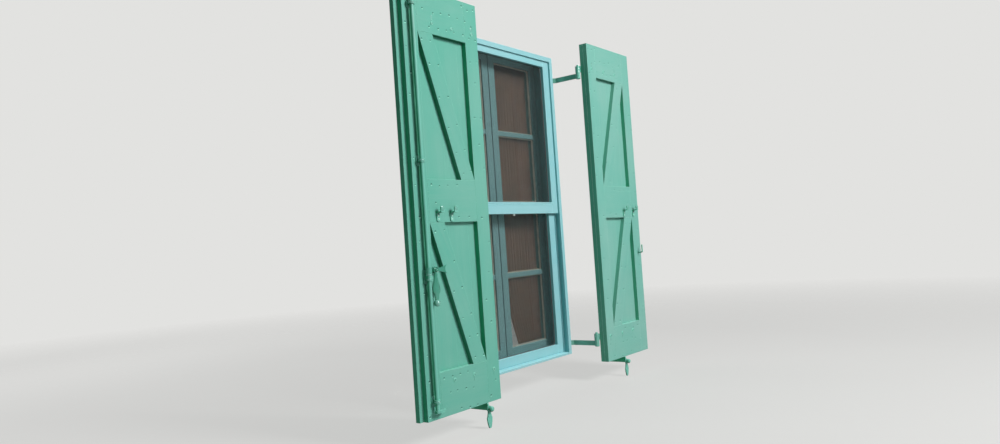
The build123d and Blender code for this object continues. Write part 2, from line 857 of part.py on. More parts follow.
def save_leaf(side, name, lipped, cradle_distances, hole=None):
    stile = leaf_stile(side, leaf_width - stile_width)
    if hole is not None:
        stile = stile - hole
    save_group(leaf_boards(side, lipped), name + "_boards")
    save(stile, name + "_free_stile")
    save(leaf_stile(side, 0), name + "_hinge_stile")
    save(leaf_rail(side, leaf_foot, leaf_foot + bottom_rail), name + "_bottom_rail")
    save(leaf_rail(side, mid_rail_foot, upper_panel_foot), name + "_middle_rail")
    save(leaf_rail(side, upper_panel_top, leaf_top), name + "_top_rail")
    save(leaf_brace(side, leaf_foot + bottom_rail, mid_rail_foot), name + "_lower_brace")
    save(leaf_brace(side, upper_panel_foot, upper_panel_top), name + "_upper_brace")
    save_group([leaf_strap(side, level) for level in hinge_levels], name + "_straps")
    save_group([strap_bolt(x, z) for x, z in bolt_places(side)], name + "_strap_bolts")
    save_group(cradles(side, cradle_distances), name + "_bar_cradles")
    save_group([pintle(side, level) for level in hinge_levels], name + "_pintles")
    save(stop_blade(side), name + "_stop_blade")


def save_rod_and_handle():
    save(locking_rod(), "locking_rod")
    guides = [
        rod_guide(leaf_foot + bottom_guide_height, guide_length),
        rod_guide(leaf_foot + handle_guide_height, handle_guide_length),
        rod_guide(leaf_foot + middle_guide_height, guide_length),
        rod_guide(leaf_top - top_guide_from_top, guide_length),
    ]
    save_group(guides, "rod_guides")
    save(handle_arm(), "handle_arm")
    save(handle_rivet(), "handle_rivet")
    save(handle(), "handle")
    save(handle_catch(), "handle_catch")


def save_window_frame():
    left = jamb(-1)
    right = jamb(1)
    save(head_member(), "frame_head")
    save(left, "left_jamb")
    save(right, "right_jamb")
    save(sill_member([left, right]), "frame_sill")
    save_group([stop_stem(-1), stop_stem(1)], "stop_stems")
    save_group([stop_ball(-1), stop_ball(1)], "stop_balls")


def save_screens():
    front = track_y1 + sash_clearance
    foot = meeting_rail_height
    top = frame_top - track_board - sash_clearance
    upper, upper_screen = sash(front, foot, top, meeting_rail, upper_sash_top_rail)
    upper = [member - meeting_groove_cut(front, foot) for member in upper]
    save_group(upper, "upper_screen_sash")
    save(upper_screen, "upper_screen")
    front = track_y3 + sash_clearance
    foot = sill_track + sash_clearance
    top = meeting_rail_height + meeting_rail - lower_sash_hidden
    lower, lower_screen = sash(front, foot, top, lower_sash_bottom_rail, lower_sash_top_rail)
    save_group(lower, "lower_screen_sash")
    save(lower_screen, "lower_screen")
    save(sash_latch(), "screen_latch")


def casement_hinge_levels():
    last = frame_top - casement_hinge_inset - 2 * casement_knuckle_height
    return (casement_hinge_inset, (casement_hinge_inset + last) / 2, last)


def save_casement():
    pins = [casement_pin(side, z) for side in (-1, 1) for z in casement_hinge_levels()]
    save_group(pins, "casement_hinge_pins")
    for side, name in ((-1, "left"), (1, "right")):
        save_group(casement_members(side), name + "_casement")
        save_group(glazing_bars(side), name + "_glazing_bars")
        save_group(panes(side), name + "_panes")
        knuckles = [casement_knuckle(side, z) for z in casement_hinge_levels()]
        save_group(knuckles, name + "_casement_knuckles")
        save(curtain_rod(side), name + "_curtain_rod")
        save(curtain(side), name + "_curtain")


os.makedirs("parts", exist_ok=True)
save_leaf(-1, "left", True, left_cradles_from_edge)
save_leaf(1, "right", False, right_cradles_from_edge, catch_hole())
save_rod_and_handle()
save_window_frame()
save_screens()
save_casement()
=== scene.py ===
"""Paint, nails, putty, insect mesh and net curtains for a pair of window shutters."""
import math
import random

import bmesh
import bpy
from mathutils import Matrix, Vector


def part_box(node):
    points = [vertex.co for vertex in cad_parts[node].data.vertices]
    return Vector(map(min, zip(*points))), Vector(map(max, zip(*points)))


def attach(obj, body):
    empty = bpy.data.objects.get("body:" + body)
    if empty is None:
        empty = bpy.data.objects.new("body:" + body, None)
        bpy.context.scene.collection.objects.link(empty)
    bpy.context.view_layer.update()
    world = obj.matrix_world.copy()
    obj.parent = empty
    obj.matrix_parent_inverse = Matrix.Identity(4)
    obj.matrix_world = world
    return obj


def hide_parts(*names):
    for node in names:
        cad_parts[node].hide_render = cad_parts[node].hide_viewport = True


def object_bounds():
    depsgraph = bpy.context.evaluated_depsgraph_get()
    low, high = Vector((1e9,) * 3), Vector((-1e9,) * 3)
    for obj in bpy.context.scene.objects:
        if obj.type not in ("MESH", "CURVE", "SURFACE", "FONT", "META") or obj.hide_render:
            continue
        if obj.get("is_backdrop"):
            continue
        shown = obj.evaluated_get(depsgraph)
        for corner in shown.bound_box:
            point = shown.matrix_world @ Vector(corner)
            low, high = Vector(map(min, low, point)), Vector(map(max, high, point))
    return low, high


bl_info = {
    "name": "Window Shutters",
    "version": (1, 0, 0),
    "blender": (4, 5, 0),
    "location": "3D View > Sidebar > Shutters",
    "description": "Dresses a pair of window shutters with paint, nails, putty, insect mesh and curtains",
    "category": "Object",
}

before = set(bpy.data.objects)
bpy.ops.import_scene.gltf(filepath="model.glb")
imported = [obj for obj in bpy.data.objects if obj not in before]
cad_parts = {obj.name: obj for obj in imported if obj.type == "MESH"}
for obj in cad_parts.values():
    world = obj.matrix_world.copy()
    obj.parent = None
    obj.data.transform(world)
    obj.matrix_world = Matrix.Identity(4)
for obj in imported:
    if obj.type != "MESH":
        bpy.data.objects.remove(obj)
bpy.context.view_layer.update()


def srgb(red, green, blue):
    """A colour of 0 to 255 as the linear values that Blender mixes."""
    shares = [value / 255 for value in (red, green, blue)]
    return tuple(s / 12.92 if s <= 0.04045 else ((s + 0.055) / 1.055) ** 2.4 for s in shares)


# Settings


class ShutterSizes(bpy.types.PropertyGroup):
    nail_radius: bpy.props.FloatProperty(
        name="Nail radius", description="Outer edge of the filled nail head",
        default=0.0046, min=0.001, max=0.01, unit="LENGTH")
    nail_proud: bpy.props.FloatProperty(
        name="Nail rim", description="How far the paint stands up round a nail",
        default=0.0011, min=0.0, max=0.003, unit="LENGTH")
    nail_scatter: bpy.props.FloatProperty(
        name="Nail scatter", description="How far the right leaf's nails stray from the left leaf's",
        default=0.006, min=0.0, max=0.02, unit="LENGTH")
    bolt_radius: bpy.props.FloatProperty(
        name="Bolt head radius", description="Domed heads of the strap bolts",
        default=0.0086, min=0.004, max=0.02, unit="LENGTH")
    bolt_proud: bpy.props.FloatProperty(
        name="Bolt head height", description="How far a bolt head stands proud",
        default=0.0048, min=0.001, max=0.01, unit="LENGTH")
    screw_radius: bpy.props.FloatProperty(
        name="Screw head radius", description="Slotted screws of the cradles",
        default=0.0042, min=0.001, max=0.01, unit="LENGTH")
    screw_proud: bpy.props.FloatProperty(
        name="Screw head height", description="How far a screw head stands proud",
        default=0.0014, min=0.0, max=0.004, unit="LENGTH")
    putty_radius: bpy.props.FloatProperty(
        name="Putty bead", description="Radius of the sealing bead round each pane",
        default=0.0056, min=0.001, max=0.01, unit="LENGTH")
    spline_radius: bpy.props.FloatProperty(
        name="Mesh cord", description="Radius of the cord that holds the insect mesh",
        default=0.0022, min=0.001, max=0.005, unit="LENGTH")
    curtain_fullness: bpy.props.FloatProperty(
        name="Curtain fullness", description="Cut width of a net curtain over its hung width",
        default=1.35, min=1.0, max=2.0)
    mesh_pitch: bpy.props.FloatProperty(
        name="Insect mesh pitch", description="Distance between two threads of the insect mesh",
        default=0.0016, min=0.0005, max=0.005, unit="LENGTH")


class ShutterColours(bpy.types.PropertyGroup):
    shutter: bpy.props.FloatVectorProperty(
        name="Shutter paint", description="Satin paint of both leaves and their hardware",
        subtype="COLOR", size=3, min=0, max=1, default=srgb(98, 177, 158))
    window: bpy.props.FloatVectorProperty(
        name="Window paint", description="Paint of the frame and the insect screens",
        subtype="COLOR", size=3, min=0, max=1, default=srgb(137, 199, 205))
    casement: bpy.props.FloatVectorProperty(
        name="Casement paint", description="Older paint of the casement behind",
        subtype="COLOR", size=3, min=0, max=1, default=srgb(158, 216, 217))
    net: bpy.props.FloatVectorProperty(
        name="Curtain net", description="Net curtains behind the panes",
        subtype="COLOR", size=3, min=0, max=1, default=srgb(106, 82, 70))
    putty: bpy.props.FloatVectorProperty(
        name="Putty", description="Sealing beads round the panes",
        subtype="COLOR", size=3, min=0, max=1, default=srgb(232, 228, 210))
    backdrop: bpy.props.FloatVectorProperty(
        name="Backdrop", description="Floor and background",
        subtype="COLOR", size=3, min=0, max=1, default=srgb(226, 226, 224))


# Node helpers


def add(tree, kind, wires=None, **settings):
    """Adds a node, sets its settings, and gives each named or numbered input a value or a link."""
    node = tree.nodes.new(kind)
    for name, value in settings.items():
        setattr(node, name, value)
    for key, value in (wires or {}).items():
        if isinstance(value, bpy.types.NodeSocket):
            tree.links.new(value, node.inputs[key])
        else:
            node.inputs[key].default_value = value
    return node


def put(tree, kind, wires=None, **settings):
    """Adds a node and gives its first output."""
    return add(tree, kind, wires, **settings).outputs[0]


def set_values(node, values):
    for name, value in values.items():
        node.inputs[name].default_value = value


def new_group(name, kind, inputs, outputs):
    """A node group with its sockets, and its input and output nodes."""
    tree = bpy.data.node_groups.new(name, kind)
    for label, socket, value in inputs:
        item = tree.interface.new_socket(name=label, in_out="INPUT", socket_type=socket)
        if value is not None:
            item.default_value = value
    for label, socket in outputs:
        tree.interface.new_socket(name=label, in_out="OUTPUT", socket_type=socket)
    return tree, tree.nodes.new("NodeGroupInput").outputs, tree.nodes.new("NodeGroupOutput").inputs


def value_inputs(values):
    """Name, kind and default of each input of a group. The default gives the kind."""
    inputs = []
    for name, value in values.items():
        kind = "Int" if isinstance(value, int) else "Float"
        if isinstance(value, tuple):
            kind = "Color" if len(value) == 4 else "Vector"
        inputs.append((name, "NodeSocket" + kind, value))
    return inputs


def place_group(tree, name, wires):
    return add(tree, "ShaderNodeGroup", wires, node_tree=bpy.data.node_groups[name]).outputs


def maths(tree, operation, first, second=0.0, clamp=False):
    return put(tree, "ShaderNodeMath", {0: first, 1: second}, operation=operation, use_clamp=clamp)


def times(tree, first, second, clamp=False):
    return maths(tree, "MULTIPLY", first, second, clamp)


def remap(tree, value, low, high, to_low=0.0, to_high=1.0):
    """Moves a value from one range to another, and holds it inside the new one."""
    return add(tree, "ShaderNodeMapRange", {"Value": value, "From Min": low, "From Max": high,
                                            "To Min": to_low, "To Max": to_high}).outputs["Result"]


def tint(tree, share, first, second):
    """Mixes two colours by a share."""
    return add(tree, "ShaderNodeMix", {0: share, 6: first, 7: second}, data_type="RGBA").outputs[2]


def scaled(tree, vector, factor):
    return put(tree, "ShaderNodeVectorMath", {0: vector, "Scale": factor}, operation="SCALE")


def length_of(tree, vector):
    return add(tree, "ShaderNodeVectorMath", {0: vector}, operation="LENGTH").outputs["Value"]


def axes_of(tree, vector):
    return add(tree, "ShaderNodeSeparateXYZ", {0: vector}).outputs


def object_place(tree):
    return add(tree, "ShaderNodeTexCoord").outputs["Object"]


def noise(tree, vector, scale, detail, roughness=0.5):
    return put(tree, "ShaderNodeTexNoise", {"Vector": vector, "Scale": scale, "Detail": detail,
                                            "Roughness": roughness})


def rgba(colour, factor=1.0):
    return tuple(min(1.0, channel * factor) for channel in colour[:3]) + (1.0,)


# Shared shader groups


def brush_marks_group():
    """Fine streaks that a brush leaves along a board, and slower waves of the wood under them."""
    tree, given, result = new_group("Brush Marks", "ShaderNodeTree", value_inputs({
        "Along": (1.0, 1.0, 1.0), "Turn": 0.0, "Streaks": 420.0
    }), [("Streak", "NodeSocketFloat"), ("Height", "NodeSocketFloat")])
    turned = put(tree, "ShaderNodeVectorRotate", {"Vector": object_place(tree), "Angle": given["Turn"]},
                 rotation_type="Y_AXIS")
    drawn = put(tree, "ShaderNodeVectorMath", {0: turned, 1: given["Along"]}, operation="MULTIPLY")
    fine = noise(tree, drawn, given["Streaks"], 3.0, 0.6)
    broad = noise(tree, drawn, 46.0, 2.0)
    streak = maths(tree, "ADD", times(tree, fine, 0.55), times(tree, broad, 0.45))
    tree.links.new(remap(tree, streak, 0.36, 0.64), result["Streak"])
    tree.links.new(streak, result["Height"])


def soft_arris_group():
    """A rounded normal over sharp corners, and a mask of the corners themselves."""
    tree, given, result = new_group("Soft Arris", "ShaderNodeTree", value_inputs({
        "Radius": 0.0012
    }), [("Normal", "NodeSocketVector"), ("Corner", "NodeSocketFloat")])
    round_normal = put(tree, "ShaderNodeBevel", {"Radius": given["Radius"]}, samples=4)
    flat_normal = add(tree, "ShaderNodeNewGeometry").outputs["Normal"]
    same = add(tree, "ShaderNodeVectorMath", {0: round_normal, 1: flat_normal},
               operation="DOT_PRODUCT").outputs["Value"]
    tree.links.new(round_normal, result["Normal"])
    tree.links.new(remap(tree, same, 0.99, 0.86), result["Corner"])


def open_sky(tree, reach):
    """How little stands round a point: 1 in the open, less in a corner."""
    return add(tree, "ShaderNodeAmbientOcclusion", {"Distance": reach}, samples=4).outputs["AO"]


def aging_and_light_group():
    """Fading and soil, with painted shade in corners, on undersides and on shut-in sides, and painted sky
    light on what faces up and along the edges.
    """
    tree, given, result = new_group("Aging and Painted Light", "ShaderNodeTree", value_inputs({
        "Paint": (0.5, 0.5, 0.5, 1.0), "Faded": (0.6, 0.6, 0.6, 1.0), "Shade and Soil": (0.02, 0.08, 0.05, 1.0),
        "Streak": 0.5, "Corner": 0.0, "Reach": 0.012, "Shade and Soil Amount": 0.6, "Edge Scuffs and Highlight": 0.3, "Painted Shadow": 0.0
    }), [("Color", "NodeSocketColor"), ("Roughness", "NodeSocketFloat")])
    place = object_place(tree)
    patches = noise(tree, place, 3.1, 3.0)
    specks = noise(tree, place, 210.0, 2.0)
    facing = axes_of(tree, add(tree, "ShaderNodeTexCoord").outputs["Normal"])
    sideways = remap(tree, maths(tree, "ABSOLUTE", facing[1]), 0.75, 0.35)
    above = remap(tree, facing[2], 0.5, 0.95)
    # Painted shade on faces that look down.
    below = times(tree, remap(tree, facing[2], -0.35, -0.95), 1.15)

    # Paint that the sun has faded in patches, and lighter where it faces up, partly sun-fade and partly
    # painted sky light.
    fading = maths(tree, "ADD", times(tree, remap(tree, patches, 0.35, 0.68), 0.55),
                   times(tree, given["Streak"], 0.35), True)
    painted = tint(tree, fading, given["Paint"], given["Faded"])
    sun_faded_and_sky_lit = scaled(tree, given["Faded"], 1.9)
    faded_and_sky_lit = tint(tree, times(tree, above, 0.85), painted, sun_faded_and_sky_lit)

    # Soil and painted shade in narrow corners; painted shade on undersides, on sides that are shut in, and
    # where a painted shadow is given.
    narrow = maths(tree, "ADD", open_sky(tree, given["Reach"]), times(tree, specks, 0.3))
    corner_shade_and_soil = times(tree, remap(tree, narrow, 0.72, 0.32), remap(tree, sideways, 0.0, 1.0, 0.3, 1.0))
    wide = open_sky(tree, times(tree, given["Reach"], 3.0))
    side_shade_share = times(tree, remap(tree, wide, 0.97, 0.8, 0.75, 1.0), sideways)
    side_shade_share = times(tree, side_shade_share, remap(tree, facing[2], 0.4, 0.05, 0.4, 1.0))
    shade_and_soil_share = maths(tree, "MAXIMUM", maths(tree, "MAXIMUM", corner_shade_and_soil, below),
                  maths(tree, "MAXIMUM", side_shade_share, given["Painted Shadow"]))
    shade_and_soil_share = times(tree, shade_and_soil_share, maths(tree, "SUBTRACT", 1.0, above))
    shade_and_soil_share = times(tree, shade_and_soil_share, given["Shade and Soil Amount"], True)
    # Undersides and the painted shadow take the darker tone, as painted shade.
    darker_shade_share = maths(tree, "MAXIMUM", remap(tree, facing[2], -0.05, -0.4), times(tree, given["Painted Shadow"], 0.85))
    shade_and_soil = tint(tree, darker_shade_share, scaled(tree, given["Shade and Soil"], 3.2), given["Shade and Soil"])
    with_shade_and_soil = tint(tree, shade_and_soil_share, faded_and_sky_lit, shade_and_soil)

    # Corners scuffed pale, which also paints a highlight along each arris.
    scuffed_and_highlit = times(tree, given["Corner"], remap(tree, specks, 0.3, 0.6, 0.45, 1.0))
    scuffed_and_highlit = times(tree, scuffed_and_highlit, given["Edge Scuffs and Highlight"], True)
    pale = tint(tree, 0.75, given["Faded"], sun_faded_and_sky_lit)
    tree.links.new(tint(tree, scuffed_and_highlit, with_shade_and_soil, pale), result["Color"])
    rough = maths(tree, "ADD", times(tree, shade_and_soil_share, 0.3), times(tree, specks, 0.22))
    tree.links.new(maths(tree, "ADD", rough, 0.3), result["Roughness"])


def woven_net_group():
    """Crossing threads on the piece's own UV map, which is in metres."""
    tree, given, result = new_group("Woven Net", "ShaderNodeTree", value_inputs({
        "Pitch": 0.0015, "Thread Share": 0.3, "Unevenness": 0.1
    }), [("Cover", "NodeSocketFloat"), ("Height", "NodeSocketFloat")])
    flat = put(tree, "ShaderNodeUVMap", uv_map="UVMap")
    stray = times(tree, noise(tree, flat, 25.0, 1.0), given["Unevenness"])
    half = times(tree, given["Thread Share"], 0.5)
    inner, outer = maths(tree, "SUBTRACT", half, 0.03), maths(tree, "ADD", half, 0.03)
    threads = []
    for axis in tuple(axes_of(tree, flat))[:2]:
        turns = maths(tree, "ADD", maths(tree, "DIVIDE", axis, given["Pitch"]), stray)
        away = maths(tree, "ABSOLUTE", maths(tree, "SUBTRACT", maths(tree, "FRACT", turns), 0.5))
        threads.append(remap(tree, away, outer, inner))
    cover = maths(tree, "MAXIMUM", threads[0], threads[1])
    tree.links.new(cover, result["Cover"])
    tree.links.new(times(tree, cover, 0.0002), result["Height"])


# Materials

# Every finish by its name. The first operator fills it.
FINISHES = {}
# Grain of a board that stands, of one that lies, and of forged iron.
UPRIGHT, LEVEL, FORGED = (1.0, 1.0, 0.03), (0.03, 1.0, 1.0), (1.0, 1.0, 0.6)
IRON = {"along": FORGED, "arris": 0.0009, "streaks": 260.0}
WORN_IRON = {**IRON, "bump": 0.0003, "shade_and_soil_amount": 0.6, "edge_scuffs_and_highlight": 1.0, "gloss": 0.3, "shine": 0.7}
BRACE_TURN = {"lower": math.atan2(0.289, 0.576), "upper": math.atan2(0.289, 0.578)}


def new_material(name):
    material = bpy.data.materials.new(name)
    material.use_nodes = True
    tree = material.node_tree
    tree.nodes.clear()
    shader = tree.nodes.new("ShaderNodeBsdfPrincipled")
    output = tree.nodes.new("ShaderNodeOutputMaterial")
    tree.links.new(shader.outputs[0], output.inputs["Surface"])
    return material, tree, shader, output.inputs["Surface"]


def finish_surface(tree, shader, colour, roughness, height, distance, strength=1.0, normal=None):
    """Feeds a shader its colour and roughness, and its relief from a height."""
    wires = {"Height": height, "Distance": distance, "Strength": strength}
    if normal:
        wires["Normal"] = normal
    relief = put(tree, "ShaderNodeBump", wires)
    for socket, source in (("Base Color", colour), ("Roughness", roughness), ("Normal", relief)):
        if source:
            tree.links.new(source, shader.inputs[socket])


def painted_material(name, paint, faded, shade_and_soil, along=UPRIGHT, turn=0.0, bump=0.00035, shade_and_soil_amount=0.82,
                     edge_scuffs_and_highlight=0.85, gloss=0.0, arris=0.0026, streaks=420.0, shine=0.2, coat=0.0):
    """Brushed satin paint, on wood or on iron."""
    material, tree, shader, _ = new_material(name)
    marks = place_group(tree, "Brush Marks", {"Along": along, "Turn": turn, "Streaks": streaks})
    corner = place_group(tree, "Soft Arris", {"Radius": arris})
    aging_and_light = place_group(tree, "Aging and Painted Light", {
        "Paint": rgba(paint), "Faded": rgba(faded), "Shade and Soil": rgba(shade_and_soil), "Streak": marks["Streak"],
        "Corner": corner["Corner"], "Shade and Soil Amount": shade_and_soil_amount, "Edge Scuffs and Highlight": edge_scuffs_and_highlight})
    finish_surface(tree, shader, aging_and_light["Color"], maths(tree, "SUBTRACT", aging_and_light["Roughness"], gloss, True),
                   marks["Height"], bump, normal=corner["Normal"])
    set_values(shader, {"Specular IOR Level": shine, "Coat Weight": coat, "Coat Roughness": 0.12})
    return material


def aging_and_light_of(material):
    """The inputs of a paint's aging and painted light, for a piece that is painted its own way."""
    return next(node.inputs for node in material.node_tree.nodes
                if node.type == "GROUP" and node.node_tree.name == "Aging and Painted Light")


def arm_material(name, paint, handle_shade_paint, handle_shade_faded, shade_and_soil):
    """The handle's darker paint, a painted shade, on the arm away from the rod, and the plain paint round the
    rod.
    """
    material = painted_material(name, handle_shade_paint, handle_shade_faded, shade_and_soil, **WORN_IRON)
    tree = material.node_tree
    low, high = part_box("rod_guides")
    rod = (low.x + high.x) / 2
    away_from_rod = remap(tree, axes_of(tree, object_place(tree))[0], rod + 0.011, rod + 0.017)
    tree.links.new(tint(tree, away_from_rod, rgba(paint), rgba(handle_shade_paint)), aging_and_light_of(material)["Paint"])
    return material


def stile_material(name, paint, faded, shade_and_soil):
    """Leaf paint with a painted shadow in a line behind the locking rod."""
    material = painted_material(name, paint, faded, shade_and_soil)
    tree = material.node_tree
    low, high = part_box("rod_guides")
    place = object_place(tree)
    across, _, height = axes_of(tree, place)
    # The painted shadow: a band beside the rod's middle, uneven along its length, and gone below the lowest
    # guide.
    away = maths(tree, "ABSOLUTE", maths(tree, "SUBTRACT", across, (low.x + high.x) / 2 + 0.005))
    rod_shadow = times(tree, remap(tree, away, 0.012, 0.007),
                  remap(tree, noise(tree, place, 14.0, 3.0), 0.3, 0.6, 0.75, 1.0))
    rod_shadow = times(tree, rod_shadow, remap(tree, height, low.z - 0.01, low.z + 0.02))
    tree.links.new(rod_shadow, aging_and_light_of(material)["Painted Shadow"])
    return material


def head_material(name, paint, dark, light):
    """Painted heads, with painted shade and highlight from the stored values Below and Crown: painted shade
    on the upper half and the crown, a painted highlight on the lower half.
    """
    material, tree, shader, _ = new_material(name)
    below, crown = (add(tree, "ShaderNodeAttribute", attribute_name=stored).outputs["Fac"]
                    for stored in ("Below", "Crown"))
    upper = tint(tree, remap(tree, below, 0.05, -0.35), rgba(paint), rgba(dark))
    lower = tint(tree, remap(tree, below, 0.05, 0.3), upper, rgba(light))
    hue = tint(tree, crown, lower, rgba(dark))
    brushed = noise(tree, object_place(tree), 300.0, 2.0)
    finish_surface(tree, shader, hue, remap(tree, brushed, 0.3, 0.7, 0.2, 0.34), brushed, 0.0001, 0.8)
    set_values(shader, {"Specular IOR Level": 0.25})
    return material


def glass_material():
    """Thin clear panes. Light for shadows passes straight through."""
    material, tree, shader, surface = new_material("window_glass")
    finish_surface(tree, shader, None, None, noise(tree, object_place(tree), 5.0, 1.0), 0.002, 0.25)
    set_values(shader, {"Base Color": (0.93, 0.97, 0.95, 1.0), "Roughness": 0.02, "IOR": 1.45,
                        "Transmission Weight": 1.0})
    clear = put(tree, "ShaderNodeBsdfTransparent")
    shadow = add(tree, "ShaderNodeLightPath").outputs["Is Shadow Ray"]
    both = put(tree, "ShaderNodeMixShader", {0: shadow, 1: shader.outputs[0], 2: clear})
    tree.links.new(both, surface)
    return material


def net_material(name, colour, pitch, share, gap_cover, rough, unevenness=0.25, shade=0.75):
    """Woven threads with gaps between them. gap_cover is how much a gap still hides."""
    material, tree, shader, _ = new_material(name)
    woven = place_group(tree, "Woven Net", {"Pitch": pitch, "Thread Share": share, "Unevenness": unevenness})
    flat = put(tree, "ShaderNodeUVMap", uv_map="UVMap")
    hue = tint(tree, remap(tree, noise(tree, flat, 9.0, 4.0), 0.3, 0.7), rgba(colour, shade), rgba(colour))
    finish_surface(tree, shader, hue, None, woven["Height"], 1.0, 0.6)
    tree.links.new(remap(tree, woven["Cover"], 0.0, 1.0, gap_cover, 1.0), shader.inputs["Alpha"])
    set_values(shader, {"Roughness": rough, "Specular IOR Level": 0.2})
    return material


def plain_bead_material(name, colour, rough, grit):
    """Putty or rubber, uneven in colour and a little pitted."""
    material, tree, shader, _ = new_material(name)
    place = object_place(tree)
    pits = noise(tree, place, 380.0, 3.0)
    hue = tint(tree, remap(tree, noise(tree, place, 22.0, 2.0), 0.35, 0.7), rgba(colour), rgba(colour, 0.7))
    finish_surface(tree, shader, hue, remap(tree, pits, 0.3, 0.7, rough, rough + 0.15), pits, grit, 0.8)
    return material


def brass_material():
    """Drawn brass tube, dulled in patches."""
    material, tree, shader, _ = new_material("curtain_brass")
    marks = place_group(tree, "Brush Marks", {"Along": LEVEL, "Streaks": 900.0})
    corner = place_group(tree, "Soft Arris", {"Radius": 0.0006})
    hue = tint(tree, marks["Streak"], rgba(srgb(196, 158, 92)), rgba(srgb(150, 112, 60)))
    finish_surface(tree, shader, hue, remap(tree, marks["Streak"], 0.0, 1.0, 0.24, 0.42), marks["Height"],
                   0.0001, normal=corner["Normal"])
    set_values(shader, {"Metallic": 1.0})
    return material


def floor_material(colour):
    """A pale floor that fades into the background far from the shutters."""
    material, tree, shader, surface = new_material("pale_floor")
    place = object_place(tree)
    shade = tint(tree, noise(tree, place, 4.0, 4.0), rgba(colour, 0.97), rgba(colour))
    tree.links.new(shade, shader.inputs["Base Color"])
    set_values(shader, {"Roughness": 0.75, "Specular IOR Level": 0.1})
    far = remap(tree, length_of(tree, place), 2.6, 7.5)
    clear = put(tree, "ShaderNodeBsdfTransparent")
    glow = put(tree, "ShaderNodeEmission", {"Color": colour, "Strength": 1.0})
    seen = times(tree, add(tree, "ShaderNodeLightPath").outputs["Is Camera Ray"], 0.7)
    lit = put(tree, "ShaderNodeMixShader", {0: seen, 1: shader.outputs[0], 2: glow})
    both = put(tree, "ShaderNodeMixShader", {0: far, 1: lit, 2: clear})
    tree.links.new(both, surface)
    return material


def toned(colour, factor, more=0.0):
    """A colour made lighter or darker in every channel."""
    return tuple(min(1.0, factor * channel + more) for channel in colour)


def faded(colour, share, grey):
    """A colour part of the way to a grey."""
    return toned(colour, 1.0 - share, share * grey)


def make_materials(colours):
    """Every finish of the shutters and the window, by name."""
    mint, blue, pale_blue = colours.shutter, colours.window, colours.casement
    # The last of these is the tone of soil and of painted shade.
    mint_faded, mint_bright, mint_shade_and_soil = faded(mint, 0.14, 0.62), toned(mint, 1.35, 0.24), srgb(0, 86, 56)
    # The handle and the arm are painted darker, as painted shade.
    handle_shade_paint, handle_shade_faded = srgb(44, 130, 106), srgb(84, 164, 142)
    # The right leaf's paint, paler than the left's: painted sky light, with a little more sun-fade.
    sun_faded_and_sky_lit = tuple(channel * more for channel, more in zip(mint, (1.3, 1.08, 1.14)))
    made = {
        "iron": painted_material("shutter_paint_iron", toned(mint, 1.18), mint_faded, mint_shade_and_soil, bump=0.0004,
                                 shade_and_soil_amount=0.9, edge_scuffs_and_highlight=0.6, gloss=0.02, shine=0.35, **IRON),
        "strap": painted_material("shutter_paint_straps", toned(mint, 1.12), mint_faded, mint_shade_and_soil,
                                  bump=0.0004, shade_and_soil_amount=0.3, edge_scuffs_and_highlight=0.6, gloss=0.24, shine=0.6, **IRON),
        "handle": painted_material("shutter_paint_handle", handle_shade_paint, handle_shade_faded, mint_shade_and_soil, **WORN_IRON),
        "arm": arm_material("shutter_paint_arm", mint, handle_shade_paint, handle_shade_faded, mint_shade_and_soil),
        # Heads painted darker above and lighter below, and the bolts darker at the crown: painted shade and
        # painted highlight.
        "nail": head_material("shutter_paint_nails", mint, toned(mint, 0.36), mint_bright),
        "pale_nail": head_material("shutter_paint_pale_nails", mint, toned(mint, 0.58), mint_bright),
        "bolt": head_material("shutter_paint_bolts", mint, toned(mint, 0.4), toned(mint, 1.3, 0.1)),
        "bead": painted_material("shutter_paint_beads", toned(mint, 1.06), mint_faded, mint_shade_and_soil, FORGED,
                                 bump=0.0002, shade_and_soil_amount=0.2, edge_scuffs_and_highlight=0.0, gloss=0.24, arris=0.0002,
                                 streaks=260.0, shine=0.6, coat=1.0),
        "screw": painted_material("shutter_paint_screws", srgb(196, 232, 218), mint_bright, mint_shade_and_soil,
                                  (1.0, 1.0, 1.0), bump=0.0002, shade_and_soil_amount=0.0, edge_scuffs_and_highlight=0.6, gloss=0.3,
                                  arris=0.0004, streaks=300.0, shine=0.6),
        "rod_stile": stile_material("shutter_paint_rod_stile", mint, mint_faded, mint_shade_and_soil),
        "knob": plain_bead_material("white_knob", srgb(232, 234, 230), 0.3, 0.0001),
        "glass": glass_material(),
        "brass": brass_material(),
        "putty": plain_bead_material("pane_putty", colours.putty, 0.5, 0.0006),
        "cord": plain_bead_material("mesh_cord", srgb(92, 98, 98), 0.6, 0.0002),
    }
    # Each row: part, name, paint, faded paint, tone of soil and painted shade, its amount, and relief depth.
    timber = (
        ("left_leaf", "shutter_paint_left", mint, mint_faded, mint_shade_and_soil, 0.82, 0.00035),
        ("right_leaf", "shutter_paint_right", sun_faded_and_sky_lit, faded(sun_faded_and_sky_lit, 0.18, 0.7), mint_shade_and_soil, 0.66, 0.0009),
        ("window", "window_paint", blue, faded(blue, 0.16, 0.8), srgb(6, 88, 86), 0.42, 0.0003),
        ("casement", "casement_paint", pale_blue, faded(pale_blue, 0.15, 0.6), srgb(34, 54, 52), 0.7, 0.0004),
    )
    for part, name, paint, paint_faded, shade_and_soil, shade_and_soil_amount, bump in timber:
        for run, along in (("upright", UPRIGHT), ("level", LEVEL)):
            made[f"{part}_{run}"] = painted_material(f"{name}_{run}", paint, paint_faded, shade_and_soil, along,
                                                     bump=bump, shade_and_soil_amount=shade_and_soil_amount)
    for (part, name, paint, paint_faded, shade_and_soil, shade_and_soil_amount, bump), sign in zip(timber, (1, -1)):
        for panel, angle in BRACE_TURN.items():
            made[part.replace("leaf", panel) + "_brace"] = painted_material(
                f"{name}_{panel}_brace", paint, paint_faded, shade_and_soil, UPRIGHT, sign * angle,
                bump=bump, shade_and_soil_amount=shade_and_soil_amount)
    return made


